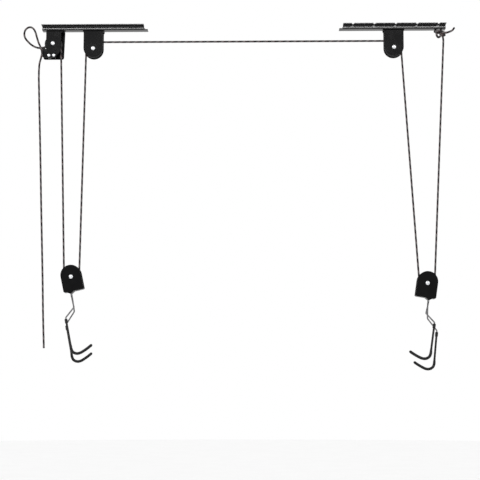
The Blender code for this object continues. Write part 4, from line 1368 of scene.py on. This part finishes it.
@dataclass(frozen=True)
class PressedSteel:
    """The pressed plates, kept as they stand in the CAD model, with their enamel."""

    rails: tuple[str, ...] = ("brake_rail", "anchor_rail")
    plates: tuple[str, ...] = ("brake_housing", "left_yoke", "right_yoke", "left_block_shell",
                               "right_block_shell")

    def build(self) -> None:
        """Enamels the plates and blackens the cam."""
        for node in self.rails + self.plates:
            SHOP.recoat(node, RailEnamel() if node in self.rails else BlackEnamel())
            LOG.info("enamelled %s", node)
        SHOP.recoat("brake_cam", BlackenedCast())


def tangent(one: Vector, side_one: float, radius_one: float, two: Vector, side_two: float, radius_two: float,
            up: bool) -> tuple[float, float]:
    """Finds where a straight rope leaves two wheels.

    Args:
        one: the first wheel's centre.
        side_one: +1 or -1 for the side that the rope leaves.
        radius_one: the rope's turning radius on it.
        two: the second wheel's centre.
        side_two: the same for the second wheel.
        radius_two: its turning radius.
        up: True for a level run, whose normal points up.

    Returns:
        The angle in degrees of the rope's start on each wheel.
    """
    dx, dz = two.x - one.x, two.z - one.z
    swing = math.acos((side_one * radius_one - side_two * radius_two) / math.hypot(dx, dz))
    for alpha in (math.atan2(dz, dx) + swing, math.atan2(dz, dx) - swing):
        if (math.sin(alpha) if up else math.cos(alpha)) > 0:
            found = [math.degrees(alpha) + (0 if side > 0 else 180) for side in (side_one, side_two)]
            return found[0] % 360, found[1] % 360
    raise ValueError("no tangent found")


def past(low: float, angle: float) -> float:
    """Gives the same angle in the full turn that starts at a low one."""
    return low + (angle - low) % 360


def turns() -> Iterable[RopeTurn]:
    """Works out the rope's turns from the wheels' places.

    Yields:
        One turn for each pulley.
    """
    hub = {n: middle(n + "_wheel") for n in WHEELS}
    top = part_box("rope_fall_anchor")[1]
    anchor = Vector((top.x - ROPE_RADIUS, ROPE_PLANE, top.z))
    fall_a, _ = tangent(hub["right_block"], 1, ROPE_TURN, anchor, 1, 0.0, False)
    fall_b, fixed_b = tangent(hub["right_block"], -1, ROPE_TURN, hub["right_fixed"], 1, ROPE_TURN, False)
    level_right, level_left = tangent(hub["right_fixed"], 1, ROPE_TURN, hub["left_fixed"], 1, ROPE_TURN, True)
    fall_d, fixed_d = tangent(hub["left_block"], 1, ROPE_TURN, hub["left_fixed"], -1, ROPE_TURN, False)
    fall_e, brake_e = tangent(hub["left_block"], -1, ROPE_TURN, hub["brake"], 1, ROPE_TURN, False)
    for name, start, end, body in (
            ("right_block", past(90, fall_b), past(270, fall_a), "right_lift"),
            ("right_fixed", past(-90, fixed_b), past(-90, level_right), "ceiling_frame"),
            ("left_fixed", past(0, level_left), past(90, fixed_d), "ceiling_frame"),
            ("left_block", past(90, fall_e), past(270, fall_d), "left_lift")):
        yield RopeTurn("rope_wrap_" + name, name + "_wheel", start, end, body)
    x, z, radius = -0.0255, -0.0010, 0.0070
    bend = [(x + radius * math.cos(math.radians(a)), z + radius * math.sin(math.radians(a)))
            for a in range(-9, -91, -9)]
    lead = (*bend, (-0.0259, -0.0080))
    yield RopeTurn("rope_wrap_brake", "brake_wheel", past(-180, brake_e), 180.0, "ceiling_frame", lead)


def rivets() -> Iterable[Rivet]:
    """Lists the axles and rivets.

    Yields:
        Each rivet with its size and body.
    """
    reach = CHEEK_GAP / 2 + SHEET + AIR
    for node, body in (("brake_axle", "ceiling_frame"), ("left_fixed_axle", "ceiling_frame"),
                       ("right_fixed_axle", "ceiling_frame"), ("left_block_axle", "left_lift"),
                       ("right_block_axle", "right_lift")):
        yield Rivet(node, body, radius=0.0030, head=0.0052, height=0.0030, reach=reach)
    for node in ("cam_pivot_rivet", "stop_rivet"):
        yield Rivet(node, "ceiling_frame", radius=0.0022, head=0.0038, height=0.0020, reach=reach)
    low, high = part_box("left_crown_rivet_a")
    height = 0.0018
    for yoke in ("brake", "left", "right"):
        for letter in ("a", "b"):
            yield Rivet(f"{yoke}_crown_rivet_{letter}", "ceiling_frame", radius=0.0022, head=0.0040,
                        height=height, reach=(high.z - low.z) / 2 - height, upright=True)


def build_hoist() -> None:
    """Builds the hoist piece by piece, the camera and the free rope first."""
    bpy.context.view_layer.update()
    studio = Studio()
    studio.camera()
    PullRope().build()
    for fall in Rope:
        RopeFall(fall).build()
    LevelRun().build()
    for turn in turns():
        turn.build()
    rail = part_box("anchor_rail")[1].x
    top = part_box("rope_fall_anchor")[1]
    AnchorHitch(fall_x=top.x - ROPE_RADIUS, rail_end=rail).build()
    for name, body in WHEELS.items():
        PulleyWheel(name + "_wheel", body).build()
    for rivet in rivets():
        rivet.build()
    WireHook(Side.LEFT, tilt=12.0, roll=7.0, twist=10.0).build()
    WireHook(Side.RIGHT, tilt=-8.5, roll=10.5, twist=-15.0).build()
    PressedSteel().build()
    studio.build()


if __name__ == "__main__":
    logging.basicConfig(level=logging.INFO, format="%(name)s: %(message)s")
    build_hoist()
